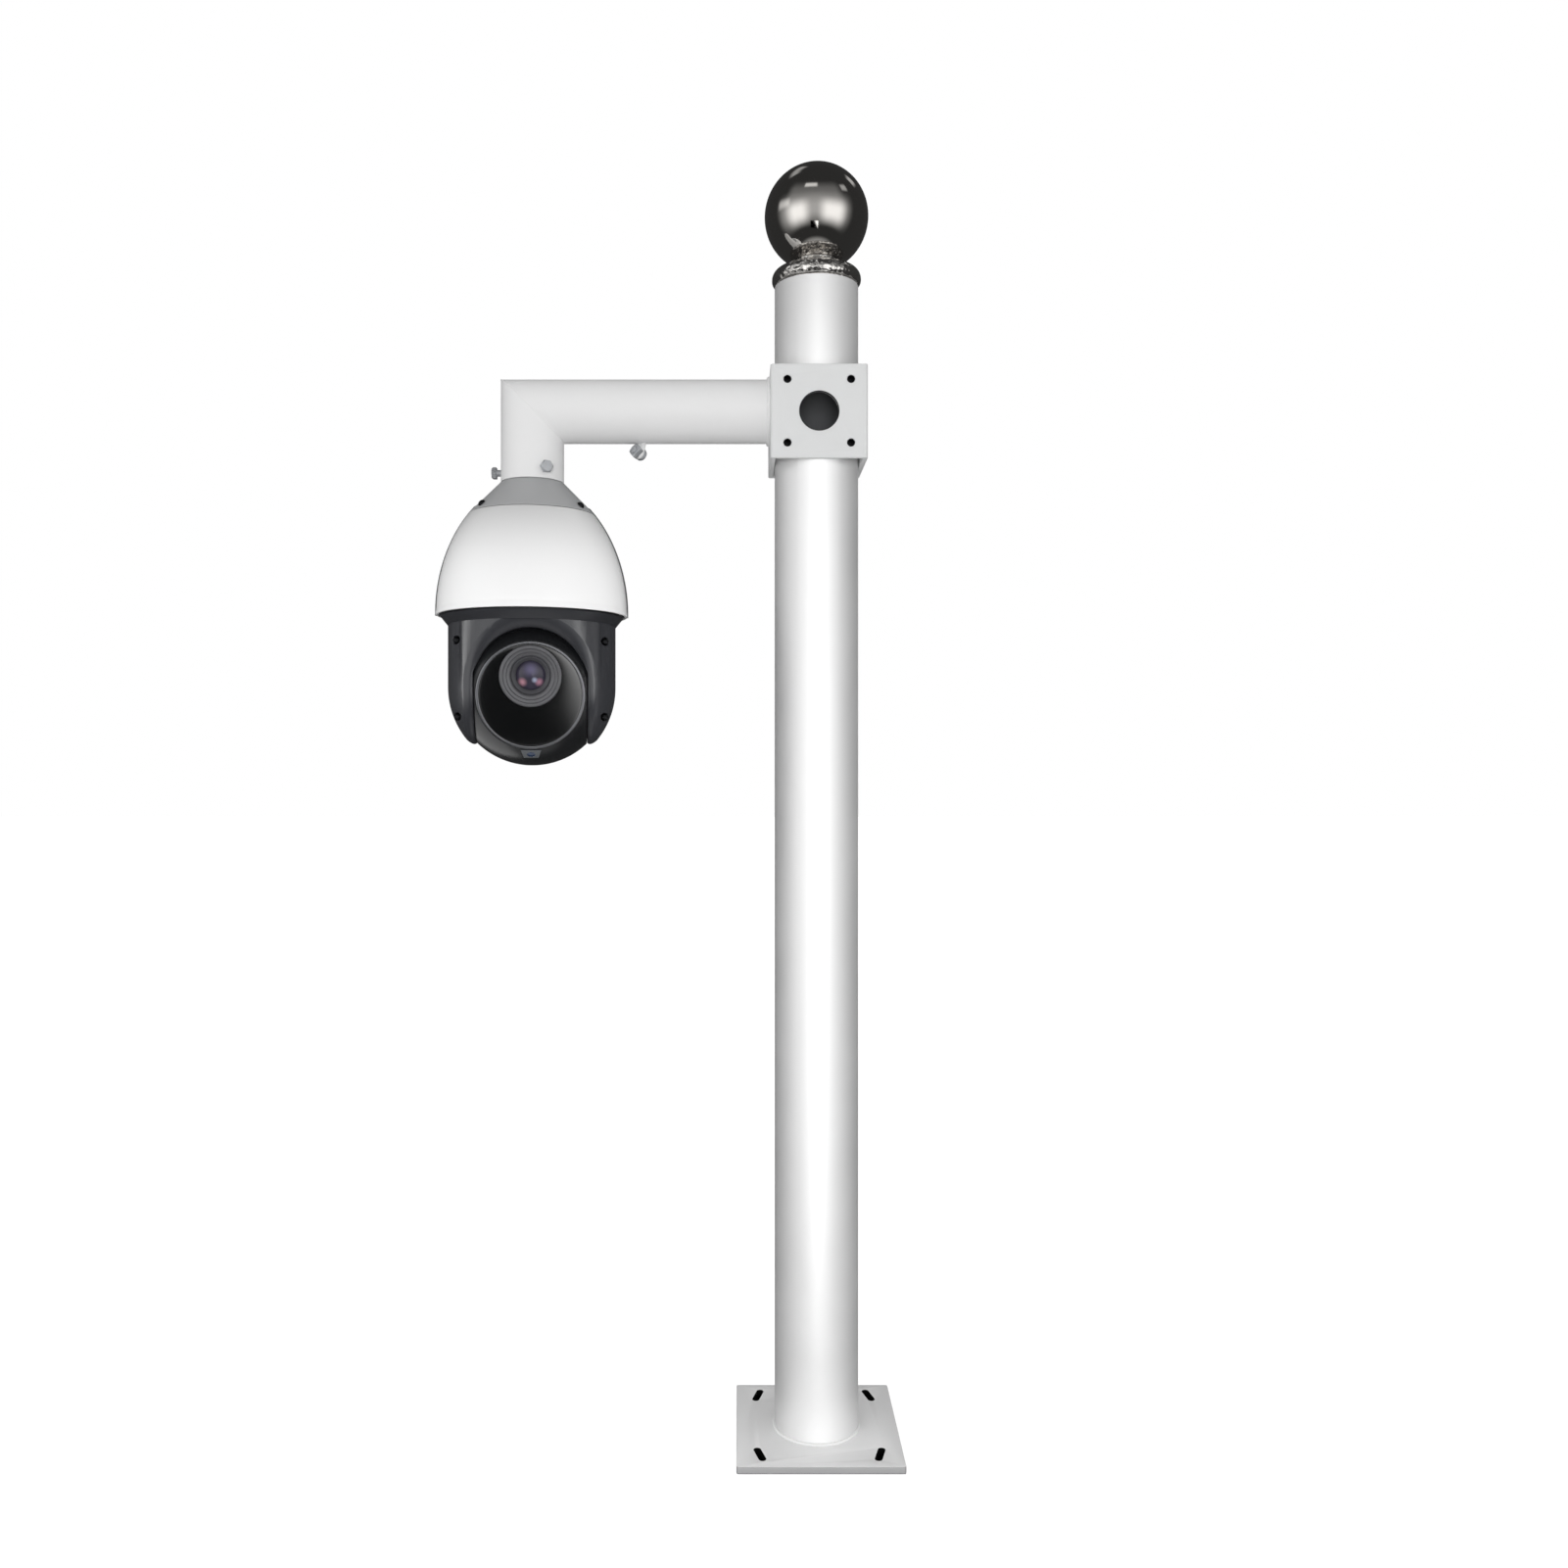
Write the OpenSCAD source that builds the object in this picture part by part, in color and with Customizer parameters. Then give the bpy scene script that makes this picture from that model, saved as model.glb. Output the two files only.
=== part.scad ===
// Short steel camera pole with a square mounting collar, a mitred arm and a pan and tilt dome camera.
// Millimetres, +Z up. The origin is on the pole's axis at the underside of the base plate, and the front is -Y.

/* [Base plate] */
// Side of the square base plate
base_w = 146; // [136:1:200]
// Thickness of the base plate
base_t = 6; // [4:0.5:12]
// Spacing of the slot centres along each side
slot_pitch = 105; // [98:1:112]
// Width of each slot
slot_w = 6.5; // [5:0.5:9]
// Length of each slot over its round ends
slot_len = 22; // [14:1:24]
// Turn of the slots from the front to back direction, in degrees
slot_turn = 16; // [0:1:45]
// Corner radius of the base plate
base_corner = 2; // [0.5:0.5:6]
// Cable hole in the base plate, under the pole
base_bore_d = 50; // [20:1:60]

/* [Pole] */
// Outer diameter of the pole
pole_d = 76; // [64:1:80]
// Wall of the pole
pole_wall = 3; // [2:0.1:4]
// Height of the pole's upper end above the underside of the base plate
pole_top = 1042; // [1000:1:1500]
// Leg of the weld round the pole's foot
foot_weld = 5; // [3:0.5:7]

/* [Mounting collar] */
// Wall of the square collar
collar_wall = 4.7; // [3:0.1:7]
// Height of the collar
collar_h = 83; // [76:1:100]
// Height of the collar's middle above the underside of the base plate
collar_mid = 919; // [800:1:935]
// Spacing of the four screw holes in each face
bolt_pitch = 56; // [52:1:58]
// Diameter of the screw holes
bolt_hole_d = 7; // [5:0.1:8]
// Diameter of the cable hole in each face
cable_hole_d = 35; // [20:1:40]
// Outer corner radius of the collar
collar_corner = 3; // [1:0.5:5]

/* [Arm] */
// Outer diameter of the arm and of the drop tube
arm_d = 57; // [54:0.5:60]
// Wall of the arm and of the drop tube
arm_wall = 2.8; // [2:0.1:3.2]
// Height of the arm's axis above the collar's middle
arm_rise = 10; // [0:0.5:12]
// Distance from the pole's axis to the drop tube's axis
arm_reach = 259; // [220:1:400]
// Length of the drop tube below the arm's axis
drop_len = 65; // [60:1:200]
// Leg of the weld where the arm meets the collar
arm_weld = 3; // [3:0.5:6]
// Distance of the earthing lug from the pole's axis
lug_x = 162; // [120:1:170]

/* [Finial] */
// Diameter of the ball
finial_d = 94.4; // [80:0.2:110]
// Wall of the hollow ball
finial_wall = 1.5; // [1:0.1:3]
// Diameter of the bulged ring of the cap
cap_d = 81; // [78:0.5:90]
// Height of the cap from the pole's end to the ball's seat
cap_h = 22.5; // [18:0.5:40]
// Diameter of the neck under the ball
cap_neck_d = 43; // [30:0.5:50]

/* [Camera housing] */
// Height of the grey neck cone
cone_h = 22; // [18:0.5:30]
// Height of the sun shield
shield_h = 100; // [92:1:120]
// Greatest radius of the sun shield
shield_r_max = 85.6; // [84:0.1:92]
// Wall of the sun shield
shield_wall = 2.5; // [2:0.1:3.5]
// Air gap between the sun shield and the housing
shield_gap = 2; // [1:0.1:2.6]
// Height of the straight rim of the sun shield
shield_rim_h = 4; // [2:0.5:8]
// Thickness of the side ribs that part the two shield halves
rib_t = 3; // [2:0.1:6]
// How far the side ribs stand proud of the shield
rib_proud = 1.4; // [0.5:0.1:3]
// Turn of the whole camera round its upright axis, in degrees
camera_turn = 7; // [-180:1:180]

/* [Yoke] */
// Outer radius of the yoke
yoke_r = 75.4; // [75:0.1:76.4]
// Depth of the tilt axis below the rim of the sun shield
tilt_drop = 65; // [63:0.5:75]
// Half width of the slot that the camera ball turns in
slot_half = 49.5; // [49.2:0.1:51]
// Width of the rounded band round the opening, at its sides
band_side = 8.6; // [6:0.1:9.5]
// Width of the rounded band round the opening, at its top
band_top = 11.5; // [8:0.1:13]
// Depth of the rounded band
band_depth = 13; // [8:0.5:16]

/* [Camera ball] */
// Radius of the camera ball
eye_r = 70.5; // [70:0.1:71]
// Distance of the window plane from the ball's middle
window_y = 51.6; // [51:0.1:53]
// Tilt of the window below level at rest, in degrees
rest_tilt = 10; // [-15:1:90]
// Radius of the lens barrel
barrel_r = 27.2; // [22:0.1:27.4]
// Height of the lens above the window's middle
lens_rise = 16.9; // [8:0.1:17]
// Thickness of the window
window_t = 3; // [2:0.1:4]

/* [Fits] */
// Clearance of parts that slide into each other
fit = 0.3; // [0.1:0.05:0.5]
// Radial clearance of the axles in their bushes and of the bearing's rings
run_fit = 0.08; // [0.02:0.02:0.1]
// Clearance between the camera ball and the spherical hollow round it
ball_gap = 1.5; // [1:0.1:2]

/* [Hidden] */
$fn = 72;

eps = 0.01;
far = 2 * shield_r_max + 40;

// Pole and collar
pole_r = pole_d / 2;
pole_bore_r = pole_r - pole_wall;
collar_in = pole_d + 2 * fit;
collar_w = collar_in + 2 * collar_wall;
collar_z = collar_mid - collar_h / 2;
cable_r = cable_hole_d / 2;
pole_hole_r = cable_r + 1;

// Arm
arm_r = arm_d / 2;
arm_bore_r = arm_r - arm_wall;
arm_z = collar_mid + arm_rise;
drop_end = arm_z - drop_len;
lock_z = drop_end + 9;
lock_r = 3;
lock_gap = 4.2;
hex_af = 10;
hex_h = 4.2;

// Earthing lug under the arm: its screw points to the front left and a little down
lug_t = 3;
lug_w = 11;
lug_bolt_z = 8.9;
lug_yaw = -38;
lug_pitch = -16;
lug_bolt_r = 3;
lug_nut_h = 5;
lug_head_h = 4;

// Finial
finial_r = finial_d / 2;
cap_r = cap_d / 2;
cap_neck_r = cap_neck_d / 2;
cap_top = pole_top + cap_h;
finial_mid = cap_top + sqrt(finial_r * finial_r - cap_neck_r * cap_neck_r);
cap_plug_h = 14;
stud_r = 4;

// Camera levels
cam_x = -arm_reach;
cone_top_r = arm_r - 1.2;
cone_z = drop_end - cone_h;
rim_z = cone_z - shield_h;
bulge_z = rim_z + shield_rim_h;
shield_rise = 1.25 * (shield_h - shield_rim_h);
fullness = 1.9;
tilt_z = rim_z - tilt_drop;
bell_wall = 3;
adapter_r = arm_bore_r - 0.7;
adapter_bore_r = adapter_r - 8;
adapter_seat = drop_end - 14;
adapter_top = drop_end + 38;
cone_r = shield_r(cone_z) - 0.4;
curve_steps = 22;
shield_screw_turn = 35;
shield_screw_z = cone_z - 3;

// Pan drive, stacked upwards from the yoke's top
drum_top = rim_z + 14;
hub_r = 20;
hub_bore_r = 15;
flange_r = 34;
flange_t = 4;
plate_z = drum_top + flange_t + 4;
plate_t = 4;
bearing_h = 7;
race_t = 2.6;
bearing_r = hub_r + 2 * race_t + run_fit;
boss_t = 6;
stator_z = plate_z + bearing_h + 2;
stator_h = 13;
rotor_t = 9;
rotor_r = hub_r + rotor_t;
stator_r = rotor_r + 11;
hub_top = stator_z + stator_h + 7;
board_z = stator_z + stator_h + 12;
board_t = 1.6;
board_r = 56;
post_ring = 49;
post_r = 3;

// Yoke
skirt_h = 8;
skirt_top_r = bell_r(rim_z) + 1;
tip_steps = 8;
arch_steps = 24;
band_reach = 6;
band_crease = 0.35;
edge_sink = 0.1;
band_end = 2;
yoke_screw_x = 65;
yoke_screw_high = 40;
yoke_screw_low = -27;
screw_r = 2;
screw_head_r = 3.5;

// Tilt drive, outwards along the tilt axis
axle_r = 6;
bush_r = 11;
bush_x = slot_half + 0.6;
pocket_x = slot_half + 7.2;
pocket_r = 21.3;
pocket_depth = 12;
axle_end = pocket_x + pocket_depth - 2;

// Camera ball
eye_half = slot_half - 1;
eye_wall = 3;
eye_in_r = eye_r - eye_wall;
eye_in_half = eye_half - eye_wall;
face_r = sqrt(eye_r * eye_r - window_y * window_y);
ring_r = face_r - 0.5;
window_r = face_r - 2.6;
window_front = window_y - 0.1;
window_back = window_front - window_t;
gasket_t = 0.6;
ledge_y = window_back - gasket_t;
ledge_r = window_r - 2.9;
ledge_t = 6.4;
barrel_front = window_y + 1.6;
barrel_back = 30;
glass_r = 14.2;
glass_t = 3.4;
glass_rim = barrel_front - 11;
retainer_r = 17.4;
module_w = 52;
module_len = 50;
led_ring = 33;
led_r = 3.6;
led_y = ledge_y - 2.5;

// Outer radius of the sun shield at a height
function shield_r(z) = shield_r_max * sqrt(1 - pow(max(0, z - bulge_z) / shield_rise, fullness));

// Outer radius of the housing under the shield
function bell_r(z) = shield_r(z) - shield_wall - shield_gap;

// Heights from one level to another in even steps
function levels(a, b, n = curve_steps) = [for (i = [0:n]) a + (b - a) * i / n];

// Point of a quadratic curve with three control points
function bend(a, b, c, u) = (1 - u) * (1 - u) * a + 2 * u * (1 - u) * b + u * u * c;

// Section of the band at an angle round the opening: radius from the tilt axis against depth towards the front
function band_w(a) = band_side + (band_top - band_side) * sin(a);
function skin(rho, a) = sqrt(yoke_r * yoke_r - pow(rho * cos(a), 2));
function skin_slope(rho, a) = -rho * pow(cos(a), 2) / skin(rho, a) + band_crease;
function band_section(a) =
    let (
        rim = slot_half + band_w(a),
        y = skin(rim, a) - edge_sink,
        s = skin_slope(rim, a),
        w = band_w(a) + band_end / 2,
        edge = [rim, y],
        corner = [rim - w, y - s * w],
        inner = [slot_half - band_end, y - s * w - band_depth]
    ) concat(
        [[rim + band_reach, y + s * band_reach]],
        [for (i = [0:tip_steps]) bend(edge, corner, inner, i / tip_steps)]
    );

module cyl_x(r, x0, x1) {
    translate([x0, 0, 0]) rotate([0, 90, 0]) cylinder(r = r, h = x1 - x0);
}

// Cylinder towards the front, from depth y0 to depth y1 in front of the axis
module cyl_front(r, y0, y1) {
    translate([0, -y0, 0]) rotate([90, 0, 0]) cylinder(r = r, h = y1 - y0);
}

module ring(r_out, r_in, z0, z1) {
    difference() {
        translate([0, 0, z0]) cylinder(r = r_out, h = z1 - z0);
        translate([0, 0, z0 - 1]) cylinder(r = r_in, h = z1 - z0 + 2);
    }
}

module ring_x(r_out, r_in, x0, x1) {
    difference() {
        cyl_x(r_out, x0, x1);
        cyl_x(r_in, x0 - 1, x1 + 1);
    }
}

module ring_front(r_out, r_in, y0, y1) {
    difference() {
        cyl_front(r_out, y0, y1);
        cyl_front(r_in, y0 - 1, y1 + 1);
    }
}

module rounded_square(w, r) {
    square([w, w - 2 * r], center = true);
    square([w - 2 * r, w], center = true);
    for (x = [-1, 1], y = [-1, 1])
        translate([x, y] * (w / 2 - r)) circle(r = r);
}

module round_slot(len, w, h) {
    linear_extrude(height = h) {
        square([w, len - w], center = true);
        for (y = [-1, 1])
            translate([0, y * (len - w) / 2]) circle(r = w / 2);
    }
}

// Hexagon head with its round edge turned down, on +Z
module hex_head(af, h) {
    intersection() {
        cylinder(r = af / sqrt(3), h = h, $fn = 6);
        union() {
            cylinder(r = af / sqrt(3), h = h - 0.8);
            translate([0, 0, h - 0.8]) cylinder(r1 = af / sqrt(3), r2 = af / 2 - 0.2, h = 0.8);
        }
    }
}

// Pan head with a cross recess, on +Z
module pan_head(r, h) {
    difference() {
        union() {
            cylinder(r = r, h = h * 0.55);
            translate([0, 0, h * 0.55]) cylinder(r1 = r, r2 = r * 0.65, h = h * 0.45);
        }
        for (a = [0, 90])
            rotate(a) translate([0, 0, h]) cube([r, r * 0.28, h * 0.9], center = true);
    }
}

// Frames of the parts

module at_drop() {
    translate([cam_x, 0, 0]) children();
}

module at_camera() {
    at_drop() rotate([0, 0, camera_turn]) children();
}

module at_tilt() {
    at_camera() translate([0, 0, tilt_z]) children();
}

// The camera ball's own frame: the window looks along -Y
module at_eye() {
    at_tilt() rotate([rest_tilt, 0, 0]) children();
}

module at_shield_screws() {
    r = shield_r(shield_screw_z);
    slope = atan2(shield_r(shield_screw_z - 1) - shield_r(shield_screw_z + 1), 2);
    for (a = [-1, 1], b = [0, 180])
        rotate([0, 0, b + a * shield_screw_turn])
            translate([r, 0, shield_screw_z]) rotate([0, 90 - slope, 0]) children();
}

module at_lock_screws() {
    for (a = [-60, 60, 180])
        rotate([0, 0, a]) translate([0, 0, lock_z]) rotate([0, 90, 0]) children();
}

module at_yoke_screws() {
    for (x = [-1, 1], z = [yoke_screw_high, yoke_screw_low])
        translate([x * yoke_screw_x, -screw_seat(z), z]) children();
}

// Depth of the screw seats in the front of the yoke
function screw_seat(z) = sqrt(yoke_r * yoke_r - yoke_screw_x * yoke_screw_x - pow(min(0, z), 2)) - 6;

// Pole and collar

module base_plate() {
    color("silver") difference() {
        linear_extrude(height = base_t) rounded_square(base_w, base_corner);
        for (x = [-1, 1], y = [-1, 1])
            translate([x * slot_pitch / 2, y * slot_pitch / 2, -1])
                rotate([0, 0, x * y * slot_turn]) round_slot(slot_len, slot_w, base_t + 2);
        translate([0, 0, -1]) cylinder(r = base_bore_d / 2, h = base_t + 2);
    }
}

module pole_tube() {
    color("gainsboro") difference() {
        union() {
            translate([0, 0, base_t]) cylinder(r = pole_r, h = pole_top - base_t);
            translate([0, 0, base_t]) cylinder(r1 = pole_r + foot_weld, r2 = pole_r, h = foot_weld);
        }
        translate([0, 0, base_t - 1]) cylinder(r = pole_bore_r, h = pole_top);
        translate([0, 0, collar_mid]) {
            rotate([90, 0, 0]) cylinder(r = pole_hole_r, h = pole_d);
            rotate([0, 90, 0]) cylinder(r = pole_hole_r, h = 2 * pole_d, center = true);
        }
    }
}

module mount_collar() {
    h = 2 * collar_w;
    color("gainsboro") difference() {
        translate([0, 0, collar_z]) linear_extrude(height = collar_h) difference() {
            rounded_square(collar_w, collar_corner);
            square(collar_in, center = true);
        }
        for (a = [0, 90]) translate([0, 0, collar_mid]) rotate([90, 0, a]) {
            cylinder(r = cable_r, h = h, center = true);
            for (x = [-1, 1], y = [-1, 1])
                translate([x, y, 0] * bolt_pitch / 2) cylinder(r = bolt_hole_d / 2, h = h, center = true);
        }
    }
}

// Half space beyond the mitre between the arm and the drop tube, on the side that sign gives
module mitre_side(sign) {
    translate([cam_x, 0, arm_z]) rotate([0, -45, 0]) translate([sign > 0 ? 0 : -far, -far / 2, -far / 2])
        cube([far, far, far]);
}

module arm_tube() {
    start = -collar_w / 2;
    color("gainsboro") difference() {
        translate([0, 0, arm_z]) union() {
            cyl_x(arm_r, cam_x - arm_r, start);
            translate([start - arm_weld, 0, 0]) rotate([0, 90, 0])
                cylinder(r1 = arm_r, r2 = arm_r + arm_weld, h = arm_weld);
        }
        translate([0, 0, arm_z]) cyl_x(arm_bore_r, cam_x - arm_d, start + 1);
        mitre_side(-1);
    }
}

module drop_tube() {
    color("gainsboro") difference() {
        translate([cam_x, 0, drop_end]) cylinder(r = arm_r, h = drop_len + arm_r);
        translate([cam_x, 0, drop_end - 1]) cylinder(r = arm_bore_r, h = drop_len + arm_d);
        mitre_side(1);
        at_drop() at_lock_screws() cylinder(r = lock_r + fit / 2, h = arm_d);
    }
}

module at_earth_bolt() {
    translate([-lug_x, 0, arm_z - arm_r - lug_bolt_z]) rotate([0, 0, lug_yaw]) rotate([lug_pitch, 0, 0])
        children();
}

module earth_lug() {
    color("silver") difference() {
        intersection() {
            at_earth_bolt() {
                translate([-lug_w / 2, -lug_t / 2, 0]) cube([lug_w, lug_t, arm_r]);
                cyl_front(lug_w / 2, -lug_t / 2, lug_t / 2);
            }
            translate([-lug_x, 0, arm_z - arm_r]) cube(1.4 * arm_r, center = true);
        }
        translate([0, 0, arm_z]) cyl_x(arm_r, -2 * lug_x, 0);
        at_earth_bolt() cyl_front(lug_bolt_r + fit / 2, -lug_t, lug_t);
    }
}

module earth_bolt() {
    color("gray") at_earth_bolt() {
        cyl_front(lug_bolt_r, -lug_t / 2, lug_t / 2 + lug_nut_h + 1.2);
        translate([0, lug_t / 2, 0]) rotate([-90, 0, 0]) hex_head(hex_af, lug_head_h);
    }
}

module earth_nut() {
    color("gray") at_earth_bolt() difference() {
        translate([0, -lug_t / 2, 0]) rotate([90, 0, 0]) intersection() {
            rotate([0, 0, 45]) translate([-hex_af / 2, -hex_af / 2, 0]) cube([hex_af, hex_af, lug_nut_h]);
            union() {
                cylinder(r = hex_af * 0.75, h = lug_nut_h - 1);
                translate([0, 0, lug_nut_h - 1]) cylinder(r1 = hex_af * 0.72, r2 = hex_af / 2, h = 1);
            }
        }
        cyl_front(lug_bolt_r, 0, lug_nut_h + lug_t);
    }
}

module lock_screws() {
    color("dimgray") at_drop() at_lock_screws() {
        translate([0, 0, adapter_r]) cylinder(r = lock_r, h = arm_r + lock_gap - adapter_r);
        translate([0, 0, arm_r + lock_gap]) hex_head(hex_af, hex_h);
    }
}

// Finial

module finial_cap() {
    bulge_h = cap_h - 7;
    color("lightgray") rotate_extrude() difference() {
        union() {
            translate([0, pole_top - cap_plug_h]) square([pole_bore_r - fit, cap_plug_h + 2]);
            hull() {
                translate([0, pole_top]) square([pole_r - 0.5, 1]);
                translate([cap_r - 5, pole_top + 6]) circle(r = 5, $fn = 48);
                translate([cap_r - 8, pole_top + bulge_h - 7]) circle(r = 6, $fn = 48);
                translate([0, pole_top + bulge_h - 1]) square([cap_neck_r + 6, 1]);
            }
            polygon([
                [0, pole_top],
                [cap_neck_r + 6, pole_top + bulge_h - eps],
                [cap_neck_r + 2, pole_top + bulge_h + 1],
                [cap_neck_r + 0.4, pole_top + bulge_h + 3.4],
                [cap_neck_r, cap_top],
                [0, cap_top]
            ]);
        }
        translate([-1, pole_top - cap_plug_h - 1])
            square([pole_bore_r - 2.5, cap_plug_h + bulge_h - 6]);
        translate([-1, 0]) square([1, 2 * pole_top]);
        square([stud_r + fit, 2 * pole_top]);
    }
}

module finial_ball() {
    floor_t = 3;
    color("lightgray") difference() {
        translate([0, 0, finial_mid]) sphere(r = finial_r);
        difference() {
            translate([0, 0, finial_mid]) sphere(r = finial_r - finial_wall);
            translate([0, 0, cap_top - far]) cylinder(r = finial_r, h = far + floor_t);
        }
        translate([0, 0, cap_top - far]) cylinder(r = finial_r, h = far);
        translate([0, 0, cap_top - 1]) cylinder(r = stud_r, h = floor_t + 2);
    }
}

module finial_stud() {
    nut_h = 6.5;
    nut_z = pole_top + cap_h - 14 - nut_h;
    color("gray") {
        translate([0, 0, nut_z - 4]) cylinder(r = stud_r, h = cap_top + 9 - nut_z);
        translate([0, 0, nut_z]) hex_head(13, nut_h);
    }
}

// Camera: fixed part

module neck_adapter() {
    color("silver") at_camera() ring(adapter_r, adapter_bore_r, adapter_seat, adapter_top);
}

module neck_cone() {
    seat_wall = 4;
    color("darkgray") at_camera() {
        rotate_extrude() polygon([
            [adapter_r + fit / 2, drop_end],
            [cone_top_r, drop_end],
            [cone_r, cone_z + 0.8],
            [cone_r, cone_z],
            [cone_r - 12, cone_z],
            [adapter_bore_r, adapter_seat - seat_wall],
            [adapter_bore_r, adapter_seat],
            [adapter_r + fit / 2, adapter_seat]
        ]);
        for (a = [0, 180])
            rotate([90, 0, a]) translate([0, 0, -rib_t / 2]) linear_extrude(height = rib_t) polygon([
                [cone_top_r - 1, drop_end - eps],
                [cone_top_r + rib_proud, drop_end - eps],
                [cone_r + rib_proud, cone_z + 0.8],
                [cone_r + rib_proud, cone_z],
                [cone_r - 2, cone_z]
            ]);
    }
}

// Outline of a side rib, along the shield and up the cone
module rib_outline() {
    polygon(concat(
        [for (z = levels(rim_z, cone_z - 1)) [shield_r(z) + rib_proud, z]],
        [[cone_r + rib_proud, cone_z - eps]],
        [for (z = levels(cone_z - 1, rim_z)) [bell_r(z) - bell_wall / 2, z]]
    ));
}

module camera_housing() {
    top = cone_z - eps;
    color("whitesmoke") at_camera() difference() {
        union() {
            rotate_extrude() polygon(concat(
                [for (z = levels(rim_z, top)) [bell_r(z), z]],
                [[adapter_bore_r + 3, top], [adapter_bore_r + 3, cone_z - 4]],
                [for (z = levels(cone_z - 4, rim_z)) [bell_r(z) - bell_wall, z]]
            ));
            for (a = [0, 180])
                rotate([90, 0, a]) translate([0, 0, -rib_t / 2]) linear_extrude(height = rib_t) rib_outline();
        }
        at_shield_screws() translate([0, 0, -12]) cylinder(r = screw_r, h = 24);
    }
}

// One half of the sun shield, in front of the ribs
module half_shield() {
    lip = 0.5;
    edge_z = cone_z - fit;
    difference() {
        rotate([0, 0, 180]) rotate_extrude(angle = 180) polygon(concat(
            [[shield_r_max + lip, rim_z], [shield_r_max + lip, bulge_z - 0.6]],
            [for (z = levels(bulge_z, edge_z)) [shield_r(z), z]],
            [for (z = levels(edge_z, rim_z + 0.6)) [shield_r(z) - shield_wall, z]],
            [[shield_r_max - shield_wall + 0.6, rim_z]]
        ));
        translate([-far / 2, -rib_t / 2 - fit / 2, rim_z - 1]) cube([far, far, shield_h + 2]);
        at_shield_screws() translate([0, 0, -12]) cylinder(r = screw_r + fit / 2, h = 24);
    }
}

module front_sun_shield() {
    color("white") at_camera() half_shield();
}

module rear_sun_shield() {
    color("white") at_camera() rotate([0, 0, 180]) half_shield();
}

module shield_screws() {
    color("dimgray") at_camera() at_shield_screws() {
        translate([0, 0, -shield_wall - shield_gap - bell_wall + 0.4])
            cylinder(r = screw_r, h = shield_wall + shield_gap + bell_wall - 0.2);
        translate([0, 0, 0.15]) pan_head(screw_head_r, 2.4);
    }
}

module pan_plate() {
    color("silver") at_camera() difference() {
        union() {
            translate([0, 0, plate_z]) cylinder(r = bell_r(plate_z + plate_t) - bell_wall - fit, h = plate_t);
            translate([0, 0, plate_z]) cylinder(r = bearing_r + boss_t, h = bearing_h + 1.5);
        }
        translate([0, 0, plate_z + 1]) cylinder(r = bearing_r, h = bearing_h + 2);
        translate([0, 0, plate_z - 1]) cylinder(r = bearing_r - 1.8, h = bearing_h + 2);
    }
}

module pan_bearing_outer() {
    color("lightgray") at_camera()
        ring(bearing_r, bearing_r - race_t, plate_z + 1, plate_z + 1 + bearing_h);
}

module pan_bearing_inner() {
    color("lightgray") at_camera() ring(hub_r + race_t, hub_r, plate_z + 1, plate_z + 1 + bearing_h);
}

module pan_motor_stator() {
    color("dimgray") at_camera() {
        ring(stator_r, rotor_r + fit, stator_z, stator_z + stator_h);
        ring(bearing_r + boss_t, bearing_r + 1, plate_z + bearing_h + 1.5, stator_z + eps);
    }
}

module pan_motor_rotor() {
    color("goldenrod") at_camera() {
        ring(hub_r + race_t - fit, hub_r, plate_z + 1 + bearing_h, stator_z + 1);
        ring(rotor_r, hub_r, stator_z + 0.6, stator_z + stator_h);
    }
}

module slip_ring() {
    r = hub_bore_r - 3;
    color("gray") at_camera() {
        translate([0, 0, plate_z - 2]) cylinder(r = r, h = board_z - plate_z + 2);
        translate([0, 0, board_z - 2]) cylinder(r = r + 9, h = 2);
    }
}

module main_board() {
    color("darkgreen") at_camera() difference() {
        union() {
            ring(board_r, 14, board_z, board_z + board_t);
            for (p = [[30, 8, 16], [-34, 10, 12], [6, -36, 14]])
                translate([p[0] - p[2] / 2, p[1] - p[2] / 2, board_z + board_t - eps]) cube([p[2], p[2], 3]);
        }
        for (a = [45:90:315])
            rotate([0, 0, a]) translate([post_ring, 0, board_z - 1]) cylinder(r = 1.6, h = board_t + 2);
    }
}

module board_posts() {
    color("silver") at_camera() for (a = [45:90:315])
        rotate([0, 0, a]) translate([post_ring, 0, 0]) {
            translate([0, 0, plate_z + plate_t]) cylinder(r = post_r, h = board_z - plate_z - plate_t);
            translate([0, 0, board_z - eps]) cylinder(r = 1.5, h = board_t + 1);
            translate([0, 0, board_z + board_t + eps]) cylinder(r = 2.8, h = 1.8);
        }
}

// Camera: yoke that pans

module yoke_skirt() {
    color("black") at_camera() rotate_extrude() polygon([
        [yoke_r + 0.05, rim_z - 1],
        [skirt_top_r, rim_z - 1],
        [skirt_top_r - 0.6, rim_z - 2],
        [yoke_r + 0.5, rim_z - 1 - skirt_h],
        [yoke_r + 0.05, rim_z - 1 - skirt_h]
    ]);
}

// Closed outline of the band's cutter at an angle round the opening, its first corner in sight of all the others
function cutter_section(a) =
    let (s = band_section(a), inner = slot_half - 5, front = yoke_r + 12)
    concat([[inner, front], [s[0][0], front]], s, [[inner, s[len(s) - 1][1]]]);

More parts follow.
